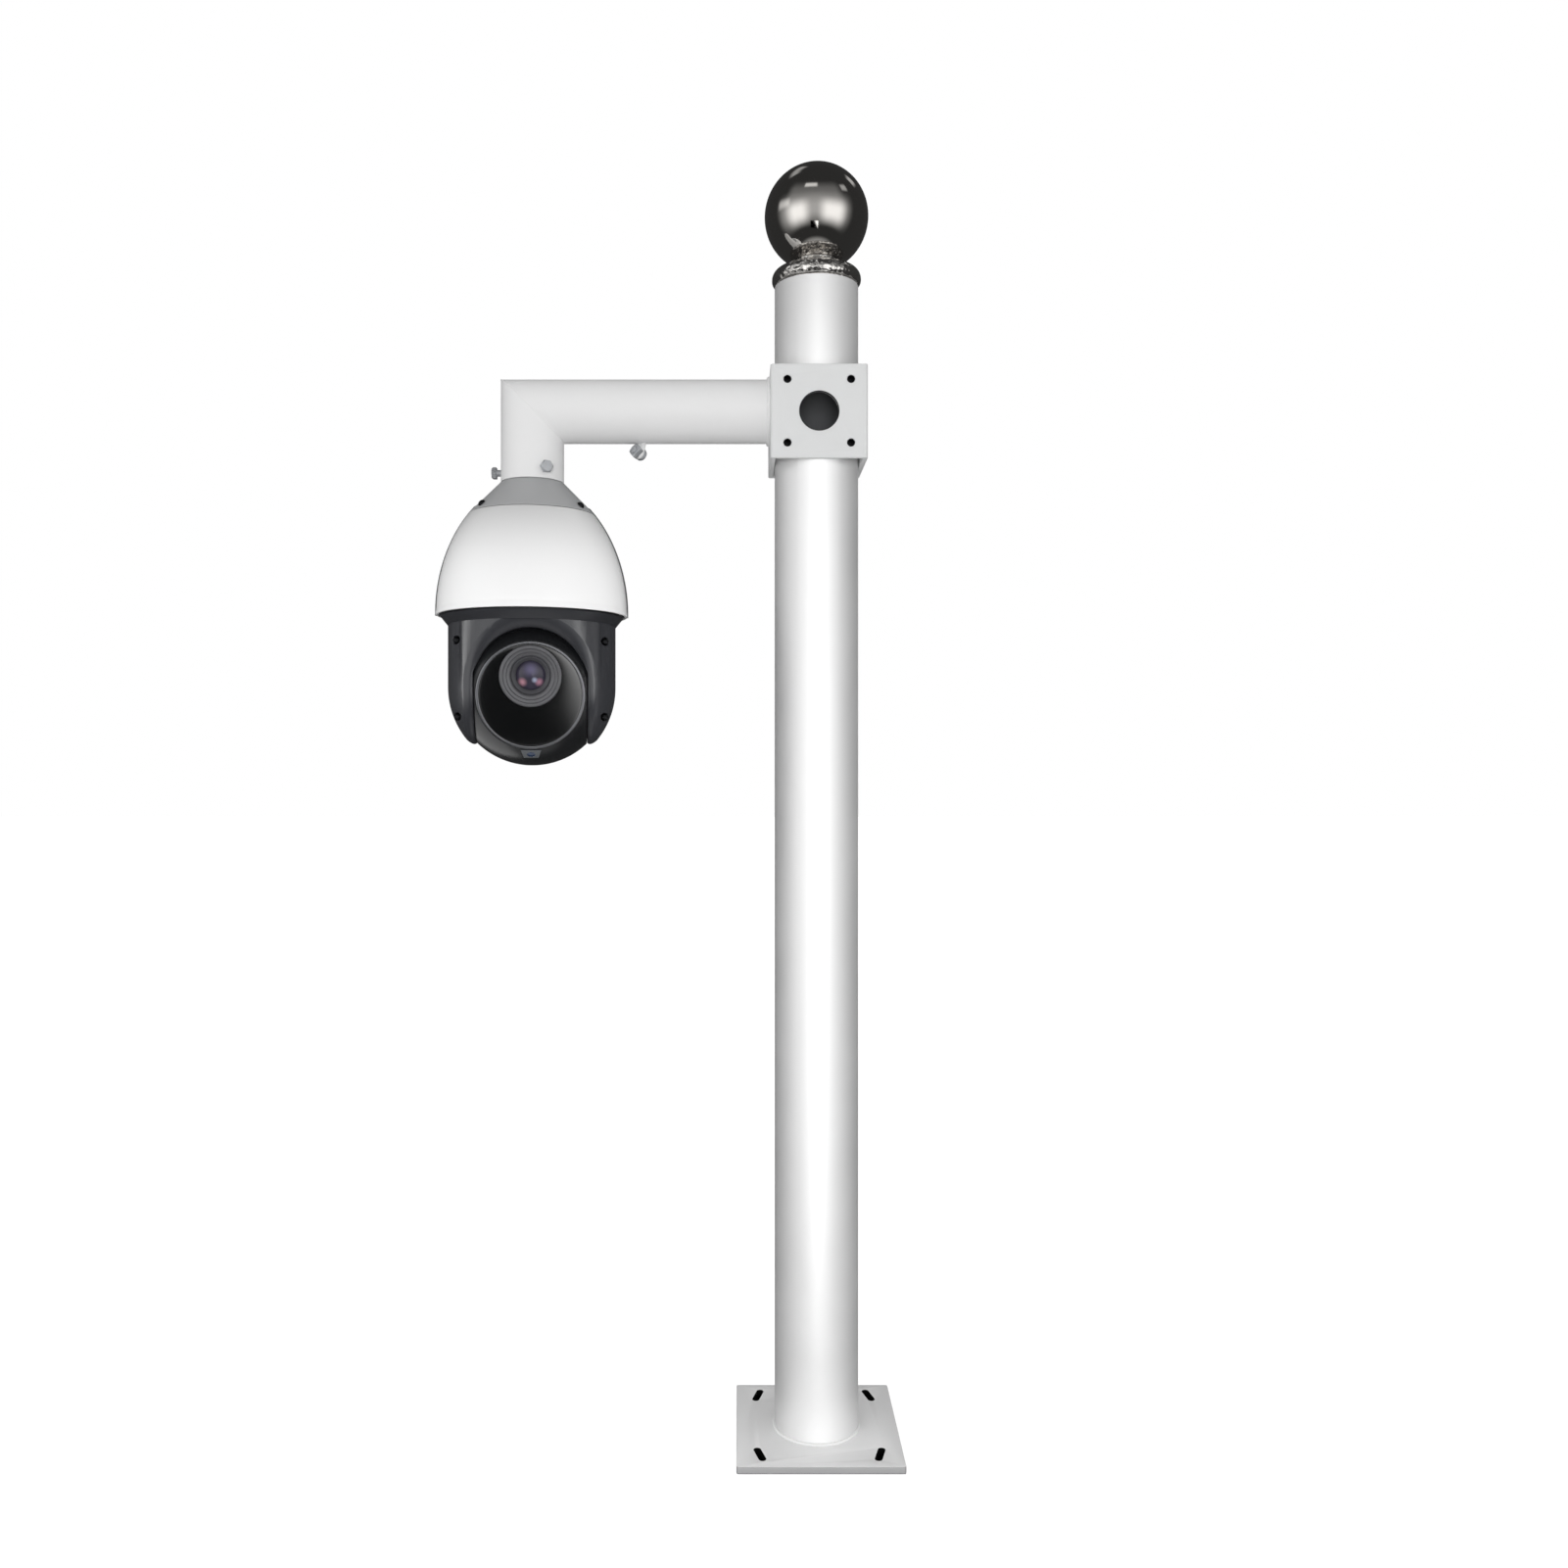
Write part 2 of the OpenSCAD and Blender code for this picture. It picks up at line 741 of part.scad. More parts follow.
// Cutter for the rounded band over the upper half of the opening, swept round the tilt axis
module arch_cutter() {
    m = len(cutter_section(0));
    points = [
        for (i = [0:arch_steps])
            let (a = 180 * i / arch_steps)
            for (p = cutter_section(a)) [p[0] * cos(a), -p[1], p[0] * sin(a)]
    ];
    polyhedron(
        points = points,
        faces = concat(
            [[for (k = [0:m - 1]) k]],
            [for (i = [0:arch_steps - 1], k = [0:m - 1])
                let (j = (k + 1) % m, a = i * m, b = (i + 1) * m) each [[a + k, b + j, a + j], [a + k, b + k, b + j]]],
            [concat([arch_steps * m], [for (k = [m - 1:-1:1]) arch_steps * m + k])]
        )
    );
}

// Rounding of an ear's edge below the tilt axis, turned about that axis
module tip_cutter() {
    rotate([0, 90, 0]) rotate([0, 0, -90]) rotate_extrude(angle = 180)
        polygon([for (p = cutter_section(0)) [p[1], p[0]]]);
}

module yoke_form() {
    drum_h = drum_top - tilt_z;
    difference() {
        rotate_extrude() {
            intersection() {
                circle(r = yoke_r);
                translate([0, -yoke_r]) square([yoke_r, yoke_r + eps]);
            }
            square([yoke_r, drum_h]);
        }
        rotate([90, 0, 0]) linear_extrude(height = far, center = true) {
            circle(r = slot_half);
            translate([-slot_half, -far]) square([2 * slot_half, far]);
        }
        intersection() {
            sphere(r = eye_r + ball_gap);
            translate([-slot_half, -far / 2, -eps]) cube([2 * slot_half, far, far]);
        }
        for (a = [0, 180])
            rotate([0, 0, a]) {
                arch_cutter();
                cyl_x(bush_r, slot_half - 1, pocket_x + 1);
                cyl_x(pocket_r, pocket_x, pocket_x + pocket_depth);
            }
        tip_cutter();
        mirror([1, 0, 0]) tip_cutter();
        at_yoke_screws() {
            cyl_front(screw_r, -far, 1);
            cyl_front(screw_head_r + fit, 0, far);
        }
        cylinder(r = hub_bore_r, h = far);
    }
}

module yoke_front_shell() {
    color([0.13, 0.13, 0.14]) at_tilt() intersection() {
        yoke_form();
        translate([-far / 2, -far, -far / 2]) cube([far, far, far]);
    }
}

module yoke_rear_shell() {
    color([0.13, 0.13, 0.14]) at_tilt() intersection() {
        yoke_form();
        translate([-far / 2, 0, -far / 2]) cube([far, far, far]);
    }
}

module yoke_screws() {
    color("dimgray") at_tilt() at_yoke_screws() {
        cyl_front(screw_r, -screw_seat(yoke_screw_low) - 14, eps);
        rotate([90, 0, 0]) pan_head(screw_head_r, 3);
    }
}

module pan_hub() {
    color("silver") at_camera() difference() {
        union() {
            translate([0, 0, drum_top]) cylinder(r = flange_r, h = flange_t);
            translate([0, 0, drum_top + flange_t]) cylinder(r = hub_r, h = hub_top - drum_top - flange_t);
            translate([0, 0, drum_top + flange_t]) cylinder(r = hub_r + 2, h = plate_z + 1 - drum_top - flange_t);
        }
        translate([0, 0, drum_top - 1]) cylinder(r = hub_bore_r, h = far);
    }
}

module hub_nut() {
    color("gray") at_camera() difference() {
        translate([0, 0, stator_z + stator_h]) cylinder(r = hub_r + 6, h = 5);
        translate([0, 0, stator_z]) cylinder(r = hub_r, h = far);
        for (a = [0:60:300])
            rotate([0, 0, a]) translate([hub_r + 6, 0, stator_z + stator_h - 1]) cylinder(r = 2, h = 7);
    }
}

module left_tilt_bush() {
    color("ivory") at_tilt() mirror([1, 0, 0]) ring_x(bush_r, axle_r + run_fit, bush_x, pocket_x);
}

module right_tilt_bush() {
    color("ivory") at_tilt() ring_x(bush_r, axle_r + run_fit, bush_x, pocket_x);
}

module tilt_motor_stator() {
    color("dimgray") at_tilt() ring_x(pocket_r, pocket_r - 8, pocket_x + 0.3, pocket_x + pocket_depth - 0.3);
}

module encoder_board() {
    color("darkgreen") at_tilt() mirror([1, 0, 0])
        ring_x(pocket_r, axle_r + 2, pocket_x + 6, pocket_x + 7.6);
}

// Camera: ball that tilts

module eye_solid(r, half) {
    intersection() {
        sphere(r = r);
        cube([2 * half, 4 * r, 4 * r], center = true);
    }
}

module eye_shell() {
    difference() {
        eye_solid(eye_r, eye_half);
        difference() {
            eye_solid(eye_in_r, eye_in_half);
            cyl_front(far, ledge_y - ledge_t, far);
        }
        cyl_x(axle_r, -far / 2, far / 2);
    }
}

module eye_front_shell() {
    color([0.16, 0.16, 0.17]) at_eye() difference() {
        eye_shell();
        cyl_front(far, window_y, far);
        cyl_front(far, -far, 0);
        cyl_front(window_r + fit, ledge_y, far);
        cyl_front(ledge_r, 0, far);
        translate([0, 0, lens_rise]) cyl_front(barrel_r + fit, 0, far);
    }
}

module eye_rear_shell() {
    color([0.16, 0.16, 0.17]) at_eye() difference() {
        eye_shell();
        cyl_front(far, 0, far);
    }
}

module window_ring() {
    color("silver") at_eye() rotate([90, 0, 0]) rotate_extrude() polygon([
        [window_r - 0.5, window_y],
        [ring_r, window_y],
        [ring_r, window_y + 0.5],
        [ring_r - 0.6, window_y + 1],
        [window_r - 0.2, window_y + 1],
        [window_r - 0.5, window_y + 0.6]
    ]);
}

module front_window() {
    color([0.08, 0.08, 0.09]) at_eye() difference() {
        cyl_front(window_r, window_back, window_front);
        translate([0, 0, lens_rise]) cyl_front(barrel_r + fit, 0, far);
    }
}

module window_gasket() {
    color("black") at_eye() difference() {
        ring_front(window_r, ledge_r, ledge_y, window_back);
        translate([0, 0, lens_rise]) cyl_front(barrel_r + fit, 0, far);
    }
}

module at_lens() {
    at_eye() translate([0, 0, lens_rise]) rotate([90, 0, 0]) children();
}

module lens_barrel() {
    f = barrel_front;
    color("dimgray") at_lens() rotate_extrude() polygon([
        [glass_r + 0.1, barrel_back],
        [barrel_r, barrel_back],
        [barrel_r, f - 0.8],
        [barrel_r - 0.8, f],
        [barrel_r - 3, f],
        [barrel_r - 3.6, f - 1.6],
        [barrel_r - 6, f - 1.6],
        [barrel_r - 6.4, f - 3.4],
        [barrel_r - 8.6, f - 3.8],
        [retainer_r, f - 5],
        [retainer_r, glass_rim],
        [glass_r + 0.1, glass_rim]
    ]);
}

module lens_retainer() {
    color("gray") at_lens() rotate_extrude() polygon([
        [glass_r - 1.2, glass_rim],
        [retainer_r - eps, glass_rim],
        [retainer_r - eps, glass_rim + 4.6],
        [retainer_r - 1.4, glass_rim + 5.2],
        [glass_r - 1.2, glass_rim + 3.4]
    ]);
}

module lens_glass() {
    bulge_r = 26;
    open_r = glass_r - 1.2;
    sag = bulge_r - sqrt(bulge_r * bulge_r - open_r * open_r);
    color([0.35, 0.3, 0.5]) at_lens() {
        translate([0, 0, glass_rim - glass_t]) cylinder(r = glass_r, h = glass_t);
        intersection() {
            translate([0, 0, glass_rim - eps]) cylinder(r = open_r, h = 2 * sag);
            translate([0, 0, glass_rim + sag - bulge_r]) sphere(r = bulge_r);
        }
    }
}

module zoom_module() {
    z = lens_rise - 8;
    color([0.2, 0.2, 0.22]) at_eye() {
        translate([-module_w / 2, -barrel_back, z - module_w / 2]) cube([module_w, module_len, module_w]);
        translate([0, 0, lens_rise]) cyl_front(glass_r, barrel_back - 1, glass_rim - glass_t);
    }
}

module module_tray() {
    z = lens_rise - 8 - module_w / 2;
    color("silver") at_eye() translate([-eye_in_half + fit, -24, z - 2.02])
        cube([2 * (eye_in_half - fit), 34, 2]);
}

module sensor_board() {
    w = module_w - 6;
    color("darkgreen") at_eye()
        translate([-w / 2, module_len - barrel_back, lens_rise - 8 - w / 2]) cube([w, 1.6, w]);
}

module ir_board() {
    color("darkgreen") at_eye() difference() {
        cyl_front(ledge_r - fit, ledge_y - 5.6, ledge_y - 4);
        translate([0, 0, lens_rise]) cyl_front(barrel_r + 1, 0, far);
    }
}

module ir_leds() {
    color("ivory") at_eye() for (a = [-155:26:-25])
        translate([led_ring * cos(a), 0, led_ring * sin(a)]) {
            cyl_front(led_r, ledge_y - 4, led_y);
            intersection() {
                translate([0, -led_y, 0]) sphere(r = led_r - 1);
                cyl_front(led_r, led_y - eps, far);
            }
        }
}

// Small window below the ring, laid on the ball
module sensor_area(w0, w1, a0, a1, r0, r1) {
    p = [for (a = [a0, a1]) eye_r * sin(a)];
    intersection() {
        difference() {
            sphere(r = r1);
            sphere(r = r0);
        }
        rotate([90, 0, 0]) linear_extrude(height = far)
            polygon([[-w0, -p[0]], [w0, -p[0]], [w1, -p[1]], [-w1, -p[1]]]);
    }
}

module light_sensor() {
    color("darkgray") at_eye() sensor_area(9, 6.5, 43.5, 54, eye_r, eye_r + 0.7);
}

module light_sensor_lens() {
    color("steelblue") at_eye() rotate([48.5, 0, 0]) cyl_front(3.6, eye_r + 0.7, eye_r + 1.1);
}

module tilt_axle(end) {
    cyl_x(axle_r + 6, eye_in_half - 2.6, eye_in_half);
    cyl_x(axle_r, eye_in_half - eps, end);
}

module left_tilt_axle() {
    color("silver") at_eye() mirror([1, 0, 0]) tilt_axle(axle_end - 2.4);
}

module right_tilt_axle() {
    color("silver") at_eye() tilt_axle(axle_end);
}

module tilt_motor_rotor() {
    color("goldenrod") at_eye() ring_x(pocket_r - 8 - fit, axle_r, pocket_x + 0.6, pocket_x + pocket_depth - 2);
}

module encoder_disc() {
    color("lightgray") at_eye() mirror([1, 0, 0]) ring_x(axle_r + 7, axle_r, pocket_x + 3, pocket_x + 4);
}

base_plate();
pole_tube();
mount_collar();
arm_tube();
drop_tube();
earth_lug();
earth_bolt();
earth_nut();
lock_screws();
finial_cap();
finial_ball();
finial_stud();
neck_adapter();
neck_cone();
camera_housing();
front_sun_shield();
rear_sun_shield();
shield_screws();
pan_plate();
pan_bearing_outer();
pan_bearing_inner();
pan_motor_stator();
pan_motor_rotor();
slip_ring();
main_board();
board_posts();
yoke_skirt();
yoke_front_shell();
yoke_rear_shell();
yoke_screws();
pan_hub();
hub_nut();
left_tilt_bush();
right_tilt_bush();
tilt_motor_stator();
encoder_board();
eye_front_shell();
eye_rear_shell();
window_ring();
front_window();
window_gasket();
lens_barrel();
lens_retainer();
lens_glass();
zoom_module();
module_tray();
sensor_board();
ir_board();
ir_leds();
light_sensor();
light_sensor_lens();
left_tilt_axle();
right_tilt_axle();
tilt_motor_rotor();
encoder_disc();
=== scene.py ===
"""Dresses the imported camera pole: powder coated pole, collar and arm, a polished ball finial and a dome camera."""
import logging
import math
from collections.abc import Callable, Iterable, Sequence
from dataclasses import dataclass
from enum import Enum

import bmesh
import bpy
from mathutils import Matrix, Vector


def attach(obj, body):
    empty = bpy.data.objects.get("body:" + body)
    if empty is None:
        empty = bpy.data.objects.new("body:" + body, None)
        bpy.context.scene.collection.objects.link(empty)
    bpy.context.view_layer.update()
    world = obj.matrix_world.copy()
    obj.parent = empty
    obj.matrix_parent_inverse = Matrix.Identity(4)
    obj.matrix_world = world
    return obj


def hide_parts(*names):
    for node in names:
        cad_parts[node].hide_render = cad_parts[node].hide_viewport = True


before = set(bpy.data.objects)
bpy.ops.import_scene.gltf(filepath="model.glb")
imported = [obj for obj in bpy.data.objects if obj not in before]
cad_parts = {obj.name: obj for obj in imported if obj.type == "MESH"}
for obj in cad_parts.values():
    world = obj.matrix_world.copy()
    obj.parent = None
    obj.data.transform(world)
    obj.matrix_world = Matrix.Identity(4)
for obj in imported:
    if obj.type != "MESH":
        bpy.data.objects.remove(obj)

LOG = logging.getLogger("camera_pole")
MM = 0.001

Point2 = tuple[float, float]
Point3 = tuple[float, float, float]
Profile = Sequence[Point2]

# The camera's neck and dome stand on one vertical axis and are turned a little; the ball tilts about a level one.
CAMERA_X = -259.0
CAMERA_TURN = 7.0
TILT_Z = 677.0
REST_TILT = math.radians(10)
LENS_RISE = 16.9
LENS_DEPTH = 44.0


def linear(code: str) -> tuple[float, float, float, float]:
    """Turns an sRGB hex colour into linear light.

    Args:
        code: the colour, such as "#c8c8c8".

    Returns:
        Red, green and blue in linear light, and a full alpha.
    """
    values = [int(code[i:i + 2], 16) / 255 for i in (1, 3, 5)]
    bent = [v / 12.92 if v <= 0.04045 else ((v + 0.055) / 1.055) ** 2.4 for v in values]
    return bent[0], bent[1], bent[2], 1.0


def add(tree: bpy.types.NodeTree, kind: str, inputs: dict | None = None, **settings: object) -> bpy.types.Node:
    """Adds one node to a tree, sets it and links it.

    Args:
        tree: the shader or geometry tree.
        kind: Blender's name of the node type.
        inputs: socket name or number against a value, or against the output socket that feeds it.
        settings: the node's own properties.

    Returns:
        The new node.
    """
    node = tree.nodes.new(kind)
    for name, value in settings.items():
        setattr(node, name, value)
    for key, value in (inputs or {}).items():
        if isinstance(value, bpy.types.NodeSocket):
            tree.links.new(value, node.inputs[key])
        else:
            node.inputs[key].default_value = value
    return node


# Finishes


class Pattern(Enum):
    """Kinds of fine relief on a surface."""

    PEEL = "soft waves of a baked powder coat or a moulded gloss"
    SPARK = "sharp grain of a spark eroded mould"
    RINGS = "turned rings round an axis"
    SCALE = "faint flat patches of a rolled or plated metal"


@dataclass(frozen=True)
class Relief:
    """One layer of relief: its pattern, the size of a wave or grain and its depth, in millimetres."""

    pattern: Pattern
    size: float
    depth: float

    def height(self, tree: bpy.types.NodeTree, place: bpy.types.NodeSocket) -> bpy.types.NodeSocket:
        """Adds the pattern's nodes.

        Args:
            tree: the material's tree.
            place: the Object coordinates.

        Returns:
            The socket with the pattern's height, from 0 to 1.
        """
        scale = 1000 / self.size
        if self.pattern is Pattern.RINGS:
            rings = add(tree, "ShaderNodeTexWave", {"Vector": place, "Scale": scale / 6.283, "Distortion": 0.0},
                        wave_type="RINGS", rings_direction="Y")
            return rings.outputs["Fac"]
        if self.pattern is Pattern.SCALE:
            cells = add(tree, "ShaderNodeTexVoronoi", {"Vector": place, "Scale": scale}, feature="SMOOTH_F1")
            return cells.outputs["Distance"]
        detail = 1.0 if self.pattern is Pattern.PEEL else 5.0
        noise = add(tree, "ShaderNodeTexNoise", {"Vector": place, "Scale": scale, "Detail": detail})
        return noise.outputs["Fac"]


@dataclass(frozen=True)
class PaintedGlint:
    """A painted glint: a soft coloured spot painted on the glass where a lamp's reflection would be; its place on the
    glass, radius and colour.
    """

    place: Point2
    radius: float
    colour: str

    def over(self, tree: bpy.types.NodeTree, place: bpy.types.NodeSocket,
             colour: bpy.types.NodeSocket) -> bpy.types.NodeSocket:
        """Paints the glint over a colour.

        Args:
            tree: the material's tree.
            place: the Object coordinates.
            colour: the colour under it.

        Returns:
            The socket with the new colour.
        """
        spot = facing_front(LENS_RISE) @ Vector((*self.place, LENS_DEPTH)) * MM
        far = add(tree, "ShaderNodeVectorMath", {0: place, 1: spot}, operation="DISTANCE")
        share = add(tree, "ShaderNodeMapRange", {
            "Value": far.outputs["Value"], "From Min": 0.0, "From Max": self.radius * MM, "To Min": 1.0, "To Max": 0.0,
        }, interpolation_type="SMOOTHSTEP")
        mix = add(tree, "ShaderNodeMix", {
            "Factor": share.outputs["Result"], "A": colour, "B": linear(self.colour),
        }, data_type="RGBA")
        return mix.outputs["Result"]


@dataclass(frozen=True)
class Finish:
    """A material: what it is made of, and what its surface gives the eye."""

    name: str
    colour: str
    roughness: float
    metallic: float = 0.0
    specular: float = 0.5
    coat: float = 0.0
    coat_roughness: float = 0.08
    reliefs: tuple[Relief, ...] = ()
    tint: str = ""
    patch: float = 60.0
    swing: float = 0.04
    # A painted sheen towards grazing angles, and painted glints where lamps would reflect.
    glint: str = ""
    painted_glints: tuple[PaintedGlint, ...] = ()
    # Colour of painted shade that is mixed in where a face looks up, or empty for none.
    painted_top_shade: str = ""

    def material(self) -> bpy.types.Material:
        """Builds the material once, and gives the same one after that.

        Returns:
            The Blender material.
        """
        known = bpy.data.materials.get(self.name)
        if known:
            return known
        made = bpy.data.materials.new(self.name)
        made.use_nodes = True
        tree = made.node_tree
        tree.nodes.clear()
        place = add(tree, "ShaderNodeTexCoord").outputs["Object"]
        shader = add(tree, "ShaderNodeBsdfPrincipled", {
            "Metallic": self.metallic,
            "Coat Weight": self.coat,
            "Coat Roughness": self.coat_roughness,
        })
        if not self.metallic:
            shader.inputs["Specular IOR Level"].default_value = self.specular
        add(tree, "ShaderNodeOutputMaterial", {"Surface": shader.outputs["BSDF"]})
        self._colour(tree, place, shader)
        self._relief(tree, place, shader)
        made.diffuse_color = linear(self.colour)
        return made

    def _colour(self, tree: bpy.types.NodeTree, place: bpy.types.NodeSocket, shader: bpy.types.Node) -> None:
        """Wires the base colour and the roughness with their slow changes over the surface.

        Args:
            tree: the material's tree.
            place: the Object coordinates.
            shader: the Principled shader.
        """
        cloud = add(tree, "ShaderNodeTexNoise", {"Vector": place, "Scale": 1000 / self.patch, "Detail": 3.0})
        tone = add(tree, "ShaderNodeMix", {
            "Factor": cloud.outputs["Fac"],
            "A": linear(self.colour),
            "B": linear(self.tint or self.colour),
        }, data_type="RGBA")
        colour = tone.outputs["Result"]
        # Painted sheen: towards grazing angles the colour is mixed to a lighter one.
        if self.glint:
            facing = add(tree, "ShaderNodeLayerWeight", {"Blend": 0.35})
            sheen = add(tree, "ShaderNodeMix", {
                "Factor": facing.outputs["Facing"], "A": colour, "B": linear(self.glint),
            }, data_type="RGBA")
            colour = sheen.outputs["Result"]
        # Painted glints: soft coloured spots laid into the colour.
        for bloom in self.painted_glints:
            colour = bloom.over(tree, place, colour)
        # Painted shade: faces that look up are mixed towards a darker grey.
        if self.painted_top_shade:
            up = add(tree, "ShaderNodeSeparateXYZ", {0: add(tree, "ShaderNodeTexCoord").outputs["Normal"]})
            share = add(tree, "ShaderNodeMapRange", {"Value": up.outputs["Z"], "From Min": 0.15, "From Max": 0.7},
                        interpolation_type="SMOOTHSTEP")
            top_shade_mix = add(tree, "ShaderNodeMix", {
                "Factor": share.outputs["Result"], "A": colour, "B": linear(self.painted_top_shade),
            }, data_type="RGBA")
            colour = top_shade_mix.outputs["Result"]
        tree.links.new(colour, shader.inputs["Base Color"])
        rough = add(tree, "ShaderNodeMapRange", {
            "Value": cloud.outputs["Fac"],
            "From Min": 0.25,
            "From Max": 0.75,
            "To Min": max(0.0, self.roughness - self.swing),
            "To Max": self.roughness + self.swing,
        })
        tree.links.new(rough.outputs["Result"], shader.inputs["Roughness"])

    def _relief(self, tree: bpy.types.NodeTree, place: bpy.types.NodeSocket, shader: bpy.types.Node) -> None:
        """Wires the layers of relief into the shader's normal, one on top of another.

        Args:
            tree: the material's tree.
            place: the Object coordinates.
            shader: the Principled shader.
        """
        normal = None
        for relief in self.reliefs:
            inputs = {"Height": relief.height(tree, place), "Distance": relief.depth * MM, "Strength": 1.0}
            if normal:
                inputs["Normal"] = normal
            normal = add(tree, "ShaderNodeBump", inputs).outputs["Normal"]
        if normal:
            tree.links.new(normal, shader.inputs["Normal"])


# The pole: pearl powder coat with metal flake, whose broad soft gleam runs down the middle of the tube.
POLE_COAT = Finish("pearl_powder_coated_steel", "#e3e3e3", 0.58, metallic=0.65, tint="#e6e6e6",
                   reliefs=(Relief(Pattern.PEEL, 3.0, 0.008),))
# The arm: plain white polyester powder coat, satin, with soft orange peel drawn 3 mm wide so that it shows.
ARM_COAT = Finish("white_powder_coated_steel", "#f0f0f0", 0.42, specular=0.3, tint="#f2f2f2",
                  reliefs=(Relief(Pattern.PEEL, 3.0, 0.012),))
# The same coat on the laser cut collar, in a greyer copy that paints shade on it.
COLLAR_COAT = Finish("collar_coat_shaded_copy", "#e4e5e5", 0.45, specular=0.3, tint="#e6e7e7",
                     reliefs=(Relief(Pattern.PEEL, 3.0, 0.012),))
# Base plate: powder coat on hot rolled plate, whose faint waves show through.
PLATE_COAT = Finish("powder_coated_rolled_plate", "#ececec", 0.5, specular=0.3, tint="#efefef", patch=35.0,
                    reliefs=(Relief(Pattern.PEEL, 3.5, 0.018), Relief(Pattern.SCALE, 18.0, 0.02)))
# Cut edges of the plate, a darker grey than its faces, and the walls of its slots, near black as painted shade.
CUT_EDGE = Finish("cut_edge_darker_grey", "#b4b4b5", 0.55, specular=0.25, tint="#acacad", patch=20.0,
                  reliefs=(Relief(Pattern.SCALE, 2.0, 0.03),))
SLOT_WALL_SHADE = Finish("slot_wall_painted_shade", "#0d0d0d", 0.85, specular=0.05, tint="#121212", patch=6.0,
                   reliefs=(Relief(Pattern.SCALE, 1.5, 0.03),))
# Inside of the tubes: bare hot rolled steel under its dark scale.
MILL_SCALE = Finish("mill_scale_steel", "#5b5c5e", 0.7, specular=0.15, tint="#535456", patch=14.0,
                    reliefs=(Relief(Pattern.SCALE, 2.5, 0.02),))
# Mirror polished stainless steel: a nearly clear reflection with the faintest buffing waves.
POLISHED_STEEL = Finish("mirror_polished_stainless_steel", "#c9c6c2", 0.07, metallic=1.0, swing=0.02, tint="#bfbcb8",
                        patch=18.0, reliefs=(Relief(Pattern.PEEL, 9.0, 0.008),))
# The cap under the ball: the same steel as cast, with the bumps that its polish leaves.
POLISHED_CAST = Finish("polished_cast_stainless_steel", "#dddbd8", 0.17, metallic=1.0, swing=0.04, tint="#cbc8c4",
                       patch=12.0, reliefs=(Relief(Pattern.PEEL, 6.0, 2.2),))
# Bright zinc plating on screws: pale grey with a blue cast and a crystalline break-up.
ZINC_STEEL = Finish("zinc_plated_steel", "#c3c5c8", 0.4, metallic=0.6, swing=0.08, tint="#b3b6ba", patch=6.0,
                    reliefs=(Relief(Pattern.SCALE, 1.5, 0.01),))
# Blackened stainless screw: dark with a dull gleam.
BLACK_STEEL = Finish("black_oxide_steel", "#3a3b3d", 0.4, metallic=1.0, swing=0.06, tint="#2d2e30", patch=5.0,
                     reliefs=(Relief(Pattern.SCALE, 1.2, 0.01),))
# Painted die cast aluminium: fine sand in the paint.
CAST_CONE = Finish("painted_die_cast_aluminium_grey", "#b4b5b6", 0.48, specular=0.4, tint="#adaeaf",
                   reliefs=(Relief(Pattern.SPARK, 1.6, 0.02),))
# Dark grey housing; where it shows, on its ribs at the shield's sides, its colour also paints the shaded groove of the
# seam as a dark line.
CAST_HOUSING = Finish("die_cast_housing_seam_shade_grey", "#58595b", 0.45, specular=0.4, tint="#525355",
                      reliefs=(Relief(Pattern.SPARK, 1.6, 0.015),))
BARE_CAST = Finish("bare_die_cast_aluminium", "#b4b5b7", 0.45, metallic=1.0, swing=0.08, tint="#a4a5a8", patch=10.0,
                   reliefs=(Relief(Pattern.SPARK, 1.5, 0.03),))
# ASA plastic of the sun shield: satin white moulding, very even, with painted shade making it greyer where it faces
# up.
SHIELD_ASA = Finish("moulded_asa_white", "#ededed", 0.32, specular=0.4, coat=0.15, coat_roughness=0.2,
                    tint="#efefef", painted_top_shade="#cfcfcf", reliefs=(Relief(Pattern.PEEL, 2.5, 0.006),))
# PC+ABS of the yoke and ball: black, moulded with a fine sparked grain that softens the gloss.
YOKE_PLASTIC = Finish("moulded_pc_abs_black", "#35363a", 0.3, specular=0.55, tint="#393a3e", patch=40.0,
                      reliefs=(Relief(Pattern.SPARK, 1.0, 0.008),))
GLOSS_PLASTIC = Finish("gloss_pc_abs_black", "#1d1e20", 0.24, specular=0.6, tint="#212224", patch=40.0, swing=0.03,
                       reliefs=(Relief(Pattern.PEEL, 4.0, 0.01),))
# Optical polycarbonate, smoked: near black in depth under a clear hard coat.
SMOKED_WINDOW = Finish("smoked_polycarbonate_hard_coated", "#0c0d0e", 0.14, specular=0.7, coat=1.0,
                       coat_roughness=0.03, tint="#101112", swing=0.02)
# Anodised aluminium trim ring: bright edge, turned lines 0.5 mm apart.
TRIM_RING = Finish("anodised_aluminium_ring", "#8d8e92", 0.28, metallic=1.0, tint="#97989c",
                   reliefs=(Relief(Pattern.RINGS, 0.5, 0.004),))
# Matt black anodised lens barrel with turned grooves that trap stray light.
BARREL_ANODISED = Finish("black_anodised_aluminium", "#555559", 0.5, metallic=0.4, tint="#4e4e52", patch=20.0,
                         reliefs=(Relief(Pattern.RINGS, 0.9, 0.02),))
BARREL_FACE = Finish("grey_anodised_aluminium", "#747477", 0.5, metallic=0.5, tint="#6c6c6f", patch=20.0,
                     reliefs=(Relief(Pattern.RINGS, 0.9, 0.015),))
